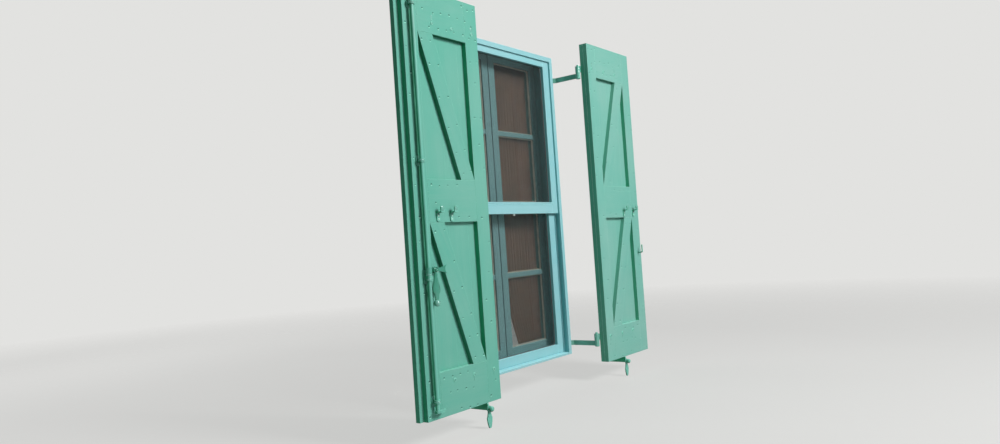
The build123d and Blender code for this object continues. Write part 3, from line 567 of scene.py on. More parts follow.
# The first of these names that a CAD node's own name holds gives its finish. A brace has a finish of
# its own, because its grain is turned.
NODE_FINISH = (
    ("left_free_stile", "rod_stile"),
    ("_brace", None),
    ("_boards", "leaf_upright"),
    ("_stile", "leaf_upright"),
    ("_rail", "leaf_level"),
    ("_panes", "glass"),
    ("_curtain_rod", "brass"),
    ("_curtain", "window_level"),
    ("_jamb", "window_upright"),
    ("frame_", "window_level"),
    ("_screen_sash", "window_level"),
    ("screen_latch", "knob"),
    ("_strap", "strap"),
    ("_pintle", "strap"),
    ("handle_catch", "iron"),
    ("handle_arm", "arm"),
    ("handle", "handle"),
    ("_screen", "window_level"),
    ("_glazing_bars", "casement_level"),
    ("_casement_knuckles", "casement_upright"),
    ("casement_hinge_pins", "casement_upright"),
    ("_casement", "casement_upright"),
)


def finish_for(node):
    """The finish of a CAD node, by its name. Iron is what is left."""
    for part, finish in NODE_FINISH:
        if part in node:
            if finish and finish.startswith("leaf_"):
                return node.split("_")[0] + "_" + finish
            return finish or node
    return "iron"


def dress(obj, material):
    """Gives a CAD node or a piece one finish."""
    if not obj.material_slots:
        obj.data.materials.append(material)
    for slot in obj.material_slots:
        slot.material = material


# Mesh helpers


def piece_from(name, mesh, body):
    """Links a finished mesh as a piece that moves with a body."""
    obj = bpy.data.objects.new(name, mesh)
    bpy.context.scene.collection.objects.link(obj)
    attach(obj, body)
    return obj


def mesh_from(name, bm):
    mesh = bpy.data.meshes.new(name)
    bm.to_mesh(mesh)
    bm.free()
    return mesh


def points_mesh(name, points):
    mesh = bpy.data.meshes.new(name)
    mesh.from_pydata([tuple(p) for p in points], [], [])
    return mesh


def loops_mesh(name, loops):
    """Closed loops of edges, for a bead to follow."""
    verts, edges = [], []
    for loop in loops:
        first, count = len(verts), len(loop)
        verts += [tuple(p) for p in loop]
        edges += [(first + i, first + (i + 1) % count) for i in range(count)]
    mesh = bpy.data.meshes.new(name)
    mesh.from_pydata(verts, edges, [])
    return mesh


def upright_loop(x0, x1, y, z0, z1):
    return [(x0, y, z0), (x1, y, z0), (x1, y, z1), (x0, y, z1)]


def grown(name, mesh, tree, values, body):
    """Runs a Geometry Nodes tree on a mesh and keeps the plain mesh that comes out."""
    source = bpy.data.objects.new(name + "_source", mesh)
    bpy.context.scene.collection.objects.link(source)
    modifier = source.modifiers.new(tree.name, "NODES")
    modifier.node_group = tree
    for item in tree.interface.items_tree:
        if item.item_type == "SOCKET" and item.in_out == "INPUT" and item.name in values:
            modifier[item.identifier] = values[item.name]
    bpy.context.view_layer.update()
    evaluated = source.evaluated_get(bpy.context.evaluated_depsgraph_get())
    grown_mesh = bpy.data.meshes.new_from_object(evaluated)
    grown_mesh.name = name
    source.modifiers.remove(modifier)
    bpy.data.objects.remove(source)
    return piece_from(name, grown_mesh, body)


def set_heads(name, places, tree, values, finish, body):
    """Sets one small head or drop at each place."""
    return grown(name, points_mesh(name + "_places", places), tree,
                 {**values, "Material": FINISHES[finish]}, body)


# Geometry Nodes trees


def geometry_group(name, values):
    """A tree that takes a shape, values and a material, and gives a shape."""
    inputs = [("Geometry", "NodeSocketGeometry", None), *value_inputs(values),
              ("Material", "NodeSocketMaterial", None)]
    return new_group(name, "GeometryNodeTree", inputs, [("Geometry", "NodeSocketGeometry")])


def finish_group(tree, given, result, instances, smooth=True):
    """Realizes the instances and sets their finish."""
    real = put(tree, "GeometryNodeRealizeInstances", {"Geometry": instances})
    shaded = put(tree, "GeometryNodeSetShadeSmooth", {"Geometry": real, "Shade Smooth": smooth})
    painted = put(tree, "GeometryNodeSetMaterial", {"Geometry": shaded, "Material": given["Material"]})
    tree.links.new(painted, result["Geometry"])


def random_share(tree, low, high, seed):
    return add(tree, "FunctionNodeRandomValue", {2: low, 3: high, "Seed": seed}, data_type="FLOAT").outputs[1]


def scattered(tree, given):
    """The points, each moved a little in the plane of the leaf."""
    stray = add(tree, "FunctionNodeRandomValue", {"Min": (-1.0, 0.0, -1.0), "Max": (1.0, 0.0, 1.0),
                                                  "Seed": given["Seed"]}, data_type="FLOAT_VECTOR")
    offset = scaled(tree, stray.outputs["Value"], given["Scatter"])
    return put(tree, "GeometryNodeSetPosition", {"Geometry": given["Geometry"], "Offset": offset})


def on_points(tree, points, shape, **turned_or_scaled):
    return put(tree, "GeometryNodeInstanceOnPoints", {"Points": points, "Instance": shape,
                                                      **turned_or_scaled})


def stood_up(tree, shape):
    """Turns a head that faces up to face -Y."""
    return put(tree, "GeometryNodeTransform", {"Geometry": shape, "Rotation": (math.pi / 2, 0.0, 0.0)})


def mark_head(tree, shape, radius, crown):
    """Stores how far each point lies below the middle of a head, and how near its crown it is."""
    across, _, up = axes_of(tree, put(tree, "GeometryNodeInputPosition"))
    drop = times(tree, maths(tree, "DIVIDE", up, radius), -1.0)
    flat = put(tree, "ShaderNodeCombineXYZ", {0: across, 2: up})
    away = maths(tree, "DIVIDE", length_of(tree, flat), radius)
    near = times(tree, remap(tree, away, 0.6, 0.36), crown)
    below = maths(tree, "ADD", times(tree, drop, maths(tree, "SUBTRACT", 1.0, crown)),
                  times(tree, away, crown))
    # The heads' material paints shade and highlight from these.
    for name, value in (("Below", below), ("Crown", near)):
        shape = put(tree, "GeometryNodeStoreNamedAttribute",
                    {"Geometry": shape, "Name": name, "Value": value},
                    data_type="FLOAT", domain="POINT")
    return shape


def stepped_head(tree, sides, radius, height, steps):
    """A closed disc facing +Z. Each step lifts its middle by a share of the height, then shrinks it."""
    disc = put(tree, "GeometryNodeMeshCircle", {"Vertices": sides, "Radius": radius}, fill_type="NGON")
    shape, middle = disc, True
    for rise, spread in steps:
        lift = times(tree, height, rise)
        up = add(tree, "GeometryNodeExtrudeMesh", {"Mesh": shape, "Selection": middle, "Offset Scale": lift},
                 mode="FACES").outputs
        middle = up["Top"]
        shape = put(tree, "GeometryNodeScaleElements", {"Geometry": up["Mesh"], "Selection": middle,
                                                        "Scale": spread})
    whole = add(tree, "GeometryNodeJoinGeometry")
    tree.links.new(shape, whole.inputs[0])
    tree.links.new(put(tree, "GeometryNodeFlipFaces", {0: disc}), whole.inputs[0])
    return put(tree, "GeometryNodeMergeByDistance", {"Geometry": whole.outputs[0], "Distance": 0.00001})


def nail_tree():
    """Nail heads sunk in paint: a low ring with a dished middle, facing -Y."""
    tree, given, result = geometry_group("Filled Nails", {
        "Radius": 0.004, "Rim": 0.0006, "Scatter": 0.0, "Seed": 1})
    steps = ((0.1, 0.95), (0.9, 0.80), (0.0, 0.85), (-0.9, 0.70))
    head = stepped_head(tree, 10, given["Radius"], given["Rim"], steps)
    size = random_share(tree, 0.75, 1.2, given["Seed"])
    marked = mark_head(tree, stood_up(tree, head), given["Radius"], 0.0)
    finish_group(tree, given, result, on_points(tree, scattered(tree, given), marked, Scale=size), False)
    return tree


def dome_tree():
    """Rounded heads and drops of paint: a flattened ball, half of it in the wood."""
    tree, given, result = geometry_group("Domes", {
        "Radius": 0.008, "Proud": 0.004, "Stretch": 1.0, "Sides": 20, "Rings": 10, "Crown": 0.0,
        "Scatter": 0.0, "Seed": 1})
    ball = put(tree, "GeometryNodeMeshUVSphere", {"Segments": given["Sides"], "Rings": given["Rings"],
                                                  "Radius": 1.0})
    size = put(tree, "ShaderNodeCombineXYZ", {0: given["Radius"], 1: given["Proud"],
                                              2: times(tree, given["Radius"], given["Stretch"])})
    flattened = put(tree, "GeometryNodeTransform", {"Geometry": ball, "Scale": size})
    share = random_share(tree, 0.9, 1.08, given["Seed"])
    marked = mark_head(tree, flattened, given["Radius"], given["Crown"])
    finish_group(tree, given, result, on_points(tree, scattered(tree, given), marked, Scale=share))
    return tree


def screw_tree():
    """Slotted screw heads, each turned differently, facing -Y."""
    tree, given, result = geometry_group("Slotted Screws", {
        "Radius": 0.0034, "Proud": 0.0012, "Slot": 0.0008, "Seed": 1})
    head = stepped_head(tree, 14, given["Radius"], given["Proud"], ((0.65, 0.93), (0.35, 0.72)))
    size = put(tree, "ShaderNodeCombineXYZ", {0: times(tree, given["Radius"], 3.0), 1: given["Slot"],
                                              2: given["Proud"]})
    lift = put(tree, "ShaderNodeCombineXYZ", {2: times(tree, given["Proud"], 0.95)})
    cutter = put(tree, "GeometryNodeMeshCube", {"Size": size})
    lifted = put(tree, "GeometryNodeTransform", {"Geometry": cutter, "Translation": lift})
    cut = put(tree, "GeometryNodeMeshBoolean", {"Mesh 1": head, "Mesh 2": lifted},
              operation="DIFFERENCE", solver="EXACT")
    turn = put(tree, "ShaderNodeCombineXYZ", {1: random_share(tree, -1.5, 1.5, given["Seed"])})
    placed = on_points(tree, given["Geometry"], stood_up(tree, cut), Rotation=turn)
    finish_group(tree, given, result, placed, False)
    return tree


def bead_tree():
    """A bead that follows closed loops of edges, thicker here and thinner there."""
    tree, given, result = geometry_group("Beads", {
        "Radius": 0.004, "Unevenness": 0.15, "Spacing": 0.02, "Seed": 1})
    runs = put(tree, "GeometryNodeMeshToCurve", {"Mesh": given["Geometry"]})
    fine = put(tree, "GeometryNodeResampleCurve", {"Curve": runs, "Length": given["Spacing"]},
               mode="LENGTH")
    wobble = random_share(tree, -1.0, 1.0, given["Seed"])
    width = maths(tree, "ADD", 1.0, times(tree, wobble, given["Unevenness"]))
    sized = put(tree, "GeometryNodeSetCurveRadius", {"Curve": fine, "Radius": width})
    ring = put(tree, "GeometryNodeCurvePrimitiveCircle", {"Resolution": 7, "Radius": given["Radius"]})
    swept = put(tree, "GeometryNodeCurveToMesh", {"Curve": sized, "Profile Curve": ring})
    finish_group(tree, given, result, swept)
    return tree


# Where the small pieces go

# Nails of a leaf: millimetres from its hinge edge and above its foot.
TOP_RAIL_NAILS = (
    (335, 1594), (273, 1586), (226, 1593), (175, 1596), (93, 1652), (55, 1641), (17, 1649), (125, 1593),
    (75, 1589), (301, 1526), (247, 1527), (197, 1530), (150, 1529), (93, 1529), (38, 1573), (56, 1521),
    (13, 1520))
UPPER_BRACE_NAILS = (
    (349, 1470), (298, 1470), (312, 1376), (261, 1379), (267, 1248), (214, 1257), (221, 1130), (170, 1147),
    (184, 1032), (132, 1045), (149, 948), (98, 960))
HINGE_STILE_NAILS = (
    (56, 1420), (12, 1428), (33, 1336), (52, 1187), (12, 1188), (34, 1074), (12, 975), (50, 764), (12, 662),
    (28, 536), (56, 422), (33, 329), (30, 87))
FREE_STILE_NAILS = (
    (436, 1520), (436, 1425), (421, 1328), (435, 1242), (436, 999), (436, 896), (424, 773), (432, 680),
    (425, 482), (431, 250), (430, 149), (437, 19))
MIDDLE_RAIL_NAILS = (
    (348, 898), (301, 893), (252, 896), (195, 900), (328, 828), (196, 770), (132, 770))
LOWER_BRACE_NAILS = (
    (343, 715), (288, 721), (242, 595), (255, 476), (204, 488), (212, 366), (158, 378), (180, 286),
    (128, 290), (152, 201), (96, 201))
BOTTOM_RAIL_NAILS = (
    (346, 149), (296, 149), (250, 150), (205, 151), (313, 89), (274, 90), (220, 87), (173, 82), (255, 16),
    (203, 9), (155, 9), (66, 27))
LEAF_NAILS = (TOP_RAIL_NAILS + UPPER_BRACE_NAILS + HINGE_STILE_NAILS + FREE_STILE_NAILS
              + MIDDLE_RAIL_NAILS + LOWER_BRACE_NAILS + BOTTOM_RAIL_NAILS)
NAIL_SHIFT, NAIL_GAP, LEFT_SCATTER = -2.5, 0.00005, 0.001
# Strap bolts: millimetres from the hinge edge, and from the ends of the node that holds both rows.
BOLT_PLACES, BOLT_INSET = (37.5, 165.5, 284.5), 7.5
# Rings of the rod's guides: metres above the leaf's foot, and below the top of the highest guide.
SINGLE_GUIDES, TOP_GUIDE, DOUBLE_GUIDE, GUIDE_DEPTH = (0.073, 0.985), 0.020, (0.532, 0.550), 0.012
# Cradles: half the width of one, the round tip's middle from the front and the top, and the screws
# from the front and the foot.
CRADLE_HALF, TIP_DEPTH, TIP_DROP, SCREW_DEPTH, SCREW_RISES = 0.010, 0.0008, 0.0105, 0.024, (0.009, 0.022)
SIDES = (("left", -1), ("right", 1))

CRADLE_TIP = {"Radius": 0.0099, "Proud": 0.0036, "Stretch": 1.06, "Sides": 18, "Rings": 12, "Seed": 9}
PAINT_RUN = {"Radius": 0.0024, "Proud": 0.0009, "Stretch": 5.5, "Sides": 10, "Rings": 8}
GUIDE_BEAD = {"Radius": 0.0136, "Proud": 0.0136, "Sides": 28, "Rings": 12, "Seed": 2}
GUIDE_STRETCH, SCREW_SLOT = (0.62, 0.5), 0.0009
PIN_CROWN = {"Radius": 0.0079, "Proud": 0.0072, "Sides": 28, "Rings": 14, "Seed": 1}


def leaf_point(side, across, up, proud=0.0):
    """A point on the room face of a leaf, from millimetres from the hinge edge and above the foot."""
    low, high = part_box(side + "_hinge_stile")
    x = high.x - across / 1000 if side == "left" else low.x + across / 1000
    return Vector((x, low.y - proud, low.z + up / 1000))


def bolt_levels(side):
    """Heights of the two rows of strap bolts above the leaf's foot, in millimetres."""
    low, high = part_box(side + "_strap_bolts")
    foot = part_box(side + "_hinge_stile")[0].z
    return (low.z - foot) * 1000 + BOLT_INSET, (high.z - foot) * 1000 - BOLT_INSET


def guide_beads():
    """Middles of the rounded rings on the rod's guides: those that stand alone, and the double one's."""
    low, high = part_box("rod_guides")
    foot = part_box("left_hinge_stile")[0].z
    rod = Vector(((low.x + high.x) / 2, low.y + GUIDE_DEPTH, foot))
    single = SINGLE_GUIDES + (high.z - foot - TOP_GUIDE,)
    return [[rod + Vector((0.0, 0.0, up)) for up in ups] for ups in (single, DOUBLE_GUIDE)]


def cradle_tips(side):
    low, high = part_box(side + "_bar_cradles")
    return [Vector((x, low.y + TIP_DEPTH, high.z - TIP_DROP))
            for x in (low.x + CRADLE_HALF, high.x - CRADLE_HALF)]


def cradle_screws(side):
    """Two screws below each cradle."""
    low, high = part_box(side + "_bar_cradles")
    return [Vector((x, low.y + SCREW_DEPTH, low.z + up))
            for x in (low.x + CRADLE_HALF, high.x - CRADLE_HALF) for up in SCREW_RISES]


# The handle

# Millimetres below the pin, and half the width there.
PADDLE = ((7, 8.4), (14, 7.4), (24, 8.4), (36, 10.8), (48, 14.0), (60, 17.6), (70, 19.6), (79, 19.8),
          (86, 18.0), (91, 14.4), (97, 12.4), (106, 10.4), (114, 8.4), (121, 7.0))
# Radius of the raised ring at the eye, and how far it stands from the back there.
EYE_PROFILE = ((0.0041, 0.0), (0.0124, 0.0), (0.0132, 0.0008), (0.0134, 0.0048), (0.0131, 0.0072),
               (0.0119, 0.0088), (0.0104, 0.0088), (0.0092, 0.0072), (0.0088, 0.0062), (0.0041, 0.0060))
BALL_RADIUS, BALL_EDGE, BALL_DEPTH, BALL_RISE = 0.0134, 0.0137, 0.0136, 0.0115
EYE_DROP, ARM_TO_BACK, CROWN_DEPTH = 0.012, 0.0033, 0.0046


def eased(points, steps):
    """More points between the given ones, on a smooth curve through them."""
    padded = [points[0]] + list(points) + [points[-1]]
    line = []
    for a, b, c, d in zip(padded, padded[1:], padded[2:], padded[3:]):
        for step in range(steps):
            t = step / steps
            line.append(tuple(q + 0.5 * t * (r - p + t * (2 * p - 5 * q + 4 * r - v
                                                          + t * (3 * (q - r) + v - p)))
                              for p, q, r, v in zip(a, b, c, d)))
    return line + [points[-1]]


def join_rings(rings, closed):
    """Faces between rings of points. The ends are filled unless the rings close on themselves."""
    size, count = len(rings[0]), len(rings)
    verts = [point for ring in rings for point in ring]
    faces = []
    for i in range(count if closed else count - 1):
        a, b = i * size, (i + 1) % count * size
        faces += [(a + j, a + (j + 1) % size, b + (j + 1) % size, b + j) for j in range(size)]
    if not closed:
        faces += [tuple(range(size))[::-1], tuple(range(len(verts) - size, len(verts)))]
    return verts, faces


def paddle_rings(eye, back):
    """Flat at the back, domed towards the hand."""
    side, edge = 0.0036, 0.001
    rings = []
    for drop, half in eased(PADDLE, 3):
        half, crown = half / 1000, 0.0018 + 0.0036 * min(1.0, half / 16)
        section = [(-half + edge, 0.0), (-half, edge), (-half, side)]
        section += [(half * t / 4, 0.0042 + crown * (1 - (t / 4) ** 2)) for t in range(-3, 4)]
        section += [(half, side), (half, edge), (half - edge, 0.0)]
        rings.append([(eye.x + across, back - out, eye.z - drop / 1000) for across, out in section])
    return rings


def lathe_rings(centre, back, profile, sides):
    """A profile of (radius, height in front of the back) turned about a line along Y."""
    rings = []
    for i in range(sides):
        angle = 2 * math.pi * i / sides
        rings.append([(centre.x + radius * math.cos(angle), back - out, centre.z + radius * math.sin(angle))
                      for radius, out in profile])
    return rings


# Cloth

PANE_ROWS, PANE_PITCH, GLAZING_BAR, REBATE, PUTTY_PROUD = 4, 0.360, 0.024, 0.005, 0.0004
CORD_INSET, CORD_BEHIND = 0.0055, 0.0012
# How many folds a net hangs in, and how many finer ones lie between them.
FOLDS, FINE_FOLDS, CREASES, NET_COLUMNS = 17, 29, 43, 240
FOLD_TOP, FOLD_DEPTH, FOLD_SWAY = 0.0006, 0.0017, 0.0016
# Height over which the foot of a net is drawn to its hinge side, and how far.
DRAWN_HEIGHT, DRAWN_WIDTH = 0.32, 0.092


def pane_loops(side):
    """A loop round each pane of a casement leaf."""
    low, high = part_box(side + "_panes")
    loops = []
    for row in range(PANE_ROWS):
        bottom = low.z + REBATE + row * PANE_PITCH
        top = low.z + REBATE + (row + 1) * PANE_PITCH - (GLAZING_BAR / 2 if row < PANE_ROWS - 1 else 0.0)
        bottom += GLAZING_BAR / 2 if row else 0.0
        loops.append(upright_loop(low.x + REBATE, high.x - REBATE, low.y - PUTTY_PROUD, bottom, top))
    return loops


def grid_sheet(name, rows, finish, body):
    """A sheet from rows of (place, UV) pairs, the UV in metres of cloth."""
    bm = bmesh.new()
    layer = bm.loops.layers.uv.new("UVMap")
    made = [[bm.verts.new(place) for place, _ in row] for row in rows]
    for j in range(len(rows) - 1):
        for i in range(len(rows[0]) - 1):
            corners = ((j, i), (j, i + 1), (j + 1, i + 1), (j + 1, i))
            face = bm.faces.new([made[a][b] for a, b in corners])
            face.smooth = True
            for loop, (a, b) in zip(face.loops, corners):
                loop[layer].uv = rows[a][b][1]
    mesh = mesh_from(name, bm)
    mesh.materials.append(FINISHES[finish])
    return piece_from(name, mesh, body)


def stretched_rows(low, high, across=32, up=40, slack=0.0012, wave=0.0006):
    """An insect mesh, a little slack in the middle of its frame."""
    middle = (low.y + high.y) / 2
    width, height = high.x - low.x, high.z - low.z
    rows = []
    for j in range(up + 1):
        v = j / up
        row = []
        for i in range(across + 1):
            u = i / across
            free = math.sin(math.pi * u) * math.sin(math.pi * v)
            ripple = wave * free * math.sin(9 * u + 4 * v) - slack * free
            row.append(((low.x + u * width, middle + ripple, low.z + v * height), (u * width, v * height)))
        rows.append(row)
    return rows


def curtain_section(rod, bottom):
    """The line that the net follows from the casing's seam, over the rod, down to its turned up hem."""
    y, z = rod
    radius, drops = 0.0041, 70
    seam = ((radius * 0.9, -0.016), (radius, -0.006))
    over = ((radius, 0.0), (radius * 0.6, 0.0036), (0.0008, 0.0048), (0.0007, 0.0088))
    line = [(y + out, z + up) for out, up in seam + over] + [(y, z + 0.0094)]
    line += [(y - out, z + up) for out, up in reversed(over)]
    for step in range(1, drops + 1):
        share = step / drops
        line.append((y - radius * max(0.0, 1 - share * 14), z + (bottom - z) * share))
    return line + [(line[-1][0] + out, bottom + up) for out, up in
                   ((0.0006, -0.0004), (0.0012, 0.003), (0.0012, 0.026))]


def lengths_along(line):
    lengths = [0.0]
    for before, after in zip(line, line[1:]):
        lengths.append(lengths[-1] + math.hypot(after[0] - before[0], after[1] - before[1]))
    return lengths


def gathered_rows(section, lengths, rod, low, high, sign, fullness):
    """A net that hangs in folds from its rod and is drawn to its hinge side at the foot."""
    source = random.Random(40 + sign)
    phases = [source.uniform(0, 2 * math.pi) for _ in range(4)]
    rows = []
    for (y, z), length in zip(section, lengths):
        hang = min(1.0, max(0.0, (rod[1] - z) / 0.12))
        down = (rod[1] - z) / (rod[1] - low.z)
        drawn = max(0.0, (DRAWN_HEIGHT - (z - low.z)) / DRAWN_HEIGHT) ** 1.35 * DRAWN_WIDTH
        left, right = (low.x + drawn, high.x) if sign > 0 else (low.x, high.x - drawn)
        row = []
        for i in range(NET_COLUMNS + 1):
            u = i / NET_COLUMNS
            wave = (0.58 * math.sin(2 * math.pi * FOLDS * u + phases[0] + 0.8 * down)
                    + 0.30 * math.sin(2 * math.pi * FINE_FOLDS * u + phases[1] - 1.1 * down)
                    + 0.12 * math.sin(2 * math.pi * CREASES * u + phases[2]))
            sway = FOLD_SWAY * math.sin(2 * math.pi * FOLDS * u + phases[3])
            if hang > 0:
                ripple = (FOLD_TOP + FOLD_DEPTH * hang) * wave
            else:
                ripple = (-1 if y < rod[0] else 1) * FOLD_TOP * (1 + wave)
            row.append(((left + (right - left) * (u + sway), y + ripple, z),
                        (u * (high.x - low.x) * fullness, length)))
        rows.append(row)
    return rows


# Lamps and camera

# Area lamps: name, place, what it shines at, size in metres, power in watts.
LAMPS = (
    ("key_light", (0.1, -4.85, 3.3), (0.0, -0.2, 0.8), 1.7, 264.0),
    ("side_light", (-4.2, -2.6, 3.4), (-0.5, -0.2, 0.8), 2.0, 5.0),
    ("back_light", (-0.6, 4.2, 2.6), (0.0, 0.0, 0.8), 3.0, 70.0),
)
CAMERA_PLACE, CAMERA_LENS, CAMERA_SENSOR = (-2.958, -2.2385, 0.606), 27.0, 36.0
CAMERA_HEADING, CAMERA_PITCH, CAMERA_ROLL = 37.4, 1.68, 3.9
FLOOR_RADIUS, FLOOR_GAP = 9.0, 0.002
# Strength of the even light on the object, and share of the background that paint mirrors.
EVEN_LIGHT, EVEN_COLOUR, MIRRORED = 0.075, (0.95, 0.98, 1.0, 1.0), 0.4


def light_world(world, colour):
    """A pale background for the camera, glass and metal, and a dimmer even light on the object."""
    world.use_nodes = True
    tree = world.node_tree
    tree.nodes.clear()
    rays = add(tree, "ShaderNodeLightPath").outputs
    seen = maths(tree, "MAXIMUM", rays["Is Camera Ray"], times(tree, rays["Is Glossy Ray"], MIRRORED))
    seen = maths(tree, "MAXIMUM", seen, rays["Is Transmission Ray"])
    dim = put(tree, "ShaderNodeBackground", {"Color": EVEN_COLOUR, "Strength": EVEN_LIGHT})
    shown = put(tree, "ShaderNodeBackground", {"Color": colour, "Strength": 1.0})
    both = put(tree, "ShaderNodeMixShader", {0: seen, 1: dim, 2: shown})
    add(tree, "ShaderNodeOutputWorld", {"Surface": both})


def lamp(scene, name, place, target, size, power):
    data = bpy.data.lights.new(name, "AREA")
    data.size = size
    data.energy = power
    obj = bpy.data.objects.new(name, data)
    scene.collection.objects.link(obj)
    obj.location = place
    obj.rotation_mode = "QUATERNION"
    obj.rotation_quaternion = (Vector(target) - Vector(place)).to_track_quat("-Z", "Y")


def set_camera(scene):
    """Stands to the left of the left leaf, a little below the middle rails."""
    data = bpy.data.cameras.new("camera")
    data.sensor_width = CAMERA_SENSOR
    data.lens = CAMERA_LENS
    camera = bpy.data.objects.new("camera", data)
    scene.collection.objects.link(camera)
    heading, pitch, roll = (math.radians(turn) for turn in (CAMERA_HEADING, CAMERA_PITCH, CAMERA_ROLL))
    ahead = Vector((math.cos(heading) * math.cos(pitch), math.sin(heading) * math.cos(pitch),
                    math.sin(pitch)))
    across = Vector((math.sin(heading), -math.cos(heading), 0.0))
    above = across.cross(ahead)
    right = across * math.cos(roll) - above * math.sin(roll)
    up = above * math.cos(roll) + across * math.sin(roll)
    turned = Matrix((right, up, -ahead)).transposed().to_4x4()
    camera.matrix_world = Matrix.Translation(CAMERA_PLACE) @ turned
    scene.camera = camera


# Operators


def sizes_of(context):
    return context.scene.shutter_sizes


def colours_of(context):
    return context.scene.shutter_colours


def tree_named(name, build):
    return bpy.data.node_groups.get(name) or build()


class SHUTTERS_OT_finishes(bpy.types.Operator):
    """Makes the paints, glass and metals, and gives every CAD node its own"""
    bl_idname = "shutters.finishes"
    bl_label = "Paint the frame and leaves"

    def execute(self, context):
        for build in (brush_marks_group, soft_arris_group, aging_and_light_group, woven_net_group):
            build()
        FINISHES.update(make_materials(colours_of(context)))
        FINISHES["insect_mesh"] = net_material("insect_mesh", srgb(58, 62, 62), sizes_of(context).mesh_pitch,
                                               0.27, 0.0, 0.55, 0.0)
        FINISHES["net"] = net_material("curtain_net", colours_of(context).net, 0.0011, 0.62, 0.82, 0.9)
        for name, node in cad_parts.items():
            dress(node, FINISHES[finish_for(name)])
        return {"FINISHED"}


class SHUTTERS_OT_nails(bpy.types.Operator):
    """Sets the filled nail heads in both leaves"""
    bl_idname = "shutters.nails"
    bl_label = "Nails"

    def execute(self, context):
        sizes = sizes_of(context)
        tree = tree_named("Filled Nails", nail_tree)
        for seed, (side, _) in enumerate(SIDES):
            places = [leaf_point(side, across, up + NAIL_SHIFT, NAIL_GAP) for across, up in LEAF_NAILS]
            values = {"Radius": sizes.nail_radius, "Rim": sizes.nail_proud, "Seed": 11 + seed,
                      "Scatter": LEFT_SCATTER + seed * (sizes.nail_scatter - LEFT_SCATTER)}
            set_heads(f"{side}_leaf_nails", places, tree, values, "pale_nail" if seed else "nail",
                      side + "_leaf")
        return {"FINISHED"}


class SHUTTERS_OT_bolt_heads(bpy.types.Operator):
    """Domes the painted heads of the strap bolts, with the drops of paint below some"""
    bl_idname = "shutters.bolt_heads"
    bl_label = "Bolt heads"

    def execute(self, context):
        sizes = sizes_of(context)
        tree = tree_named("Domes", dome_tree)
        for seed, (side, _) in enumerate(SIDES):
            body = side + "_leaf"
            heads = [leaf_point(side, across, up) for up in bolt_levels(side) for across in BOLT_PLACES]
            # Crown paints the middle of each head darker, a painted shade.
            values = {"Radius": sizes.bolt_radius, "Proud": sizes.bolt_proud, "Crown": 0.65,
                      "Seed": 3 + seed}
            set_heads(f"{side}_leaf_bolt_heads", heads, tree, values, "bolt", body)
            set_heads(f"{side}_cradle_tips", cradle_tips(side), tree, CRADLE_TIP, "bead", body)
            runs = [place + Vector((0.0005, 0.0, 0.02)) for place in heads[3::2]]
            runs += [place - Vector((0.0008, 0.0, 0.013)) for place in heads[:2]]
            set_heads(f"{side}_leaf_paint_runs", runs, tree, {**PAINT_RUN, "Seed": 7 + seed}, "bead", body)
        for name, places, stretch in zip(("single", "double"), guide_beads(), GUIDE_STRETCH):
            set_heads(f"rod_guide_{name}_beads", places, tree, {**GUIDE_BEAD, "Stretch": stretch}, "bead",
                      "left_leaf")
        return {"FINISHED"}


class SHUTTERS_OT_screws(bpy.types.Operator):
    """Sets slotted screws in the cradles of both leaves"""
    bl_idname = "shutters.screws"
    bl_label = "Screws"

    def execute(self, context):
        sizes = sizes_of(context)
        tree = tree_named("Slotted Screws", screw_tree)
        for seed, (side, _) in enumerate(SIDES):
            values = {"Radius": sizes.screw_radius, "Proud": sizes.screw_proud, "Slot": SCREW_SLOT,
                      "Seed": 5 + seed}
            set_heads(f"{side}_leaf_screws", cradle_screws(side), tree, values, "screw", side + "_leaf")
        return {"FINISHED"}


class SHUTTERS_OT_handle(bpy.types.Operator):
    """Forges the hanging handle: a domed paddle, a raised ring at its eye and a ball at its end"""
    bl_idname = "shutters.handle"
    bl_label = "Handle"

    def execute(self, context):
        low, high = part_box("handle")
        arm_low, arm_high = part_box("handle_arm")
        eye = Vector(((low.x + high.x) / 2, 0.0, high.z - EYE_DROP))
        back = (arm_low.y + arm_high.y) / 2 - ARM_TO_BACK
        ball = Vector((eye.x, low.y + BALL_DEPTH, low.z + BALL_RISE))
        verts, faces = [], []
        for rings, closed in ((paddle_rings(eye, back), False),
                              (lathe_rings(eye, back, EYE_PROFILE, 36), True)):
            more, between = join_rings(rings, closed)
            faces += [tuple(len(verts) + i for i in face) for face in between]
            verts += more
        mesh = bpy.data.meshes.new("forged_handle")
        mesh.from_pydata(verts, [], faces)
        bm = bmesh.new()
        bm.from_mesh(mesh)
        bmesh.ops.create_uvsphere(bm, u_segments=28, v_segments=16, radius=BALL_RADIUS,
                                  matrix=Matrix.Translation(ball))
        bmesh.ops.recalc_face_normals(bm, faces=bm.faces)
        bm.to_mesh(mesh)
        bm.free()
        mesh.shade_smooth()
        handle = piece_from("forged_handle", mesh, "handle_body")
        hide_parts("handle")
        for finish in ("handle", "bead"):
            mesh.materials.append(FINISHES[finish])
        for polygon in mesh.polygons:
            polygon.material_index = int((polygon.center - ball).length < BALL_EDGE)
        crown = Vector((eye.x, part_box("handle_rivet")[0].y + CROWN_DEPTH, eye.z))
        set_heads("handle_pin_crown", [crown], tree_named("Domes", dome_tree), PIN_CROWN, "handle",
                  "locking_rod_body")
        return {"FINISHED"}


class SHUTTERS_OT_putty(bpy.types.Operator):
    """Runs a bead of putty round every pane"""
    bl_idname = "shutters.putty"
    bl_label = "Putty"

    def execute(self, context):
        tree = tree_named("Beads", bead_tree)
        for seed, (side, _) in enumerate(SIDES):
            values = {"Radius": sizes_of(context).putty_radius, "Unevenness": 0.22, "Spacing": 0.018,
                      "Seed": 21 + seed, "Material": FINISHES["putty"]}
            grown(f"{side}_casement_putty", loops_mesh(f"{side}_putty_lines", pane_loops(side)), tree,
                  values, side + "_casement_leaf")
        return {"FINISHED"}


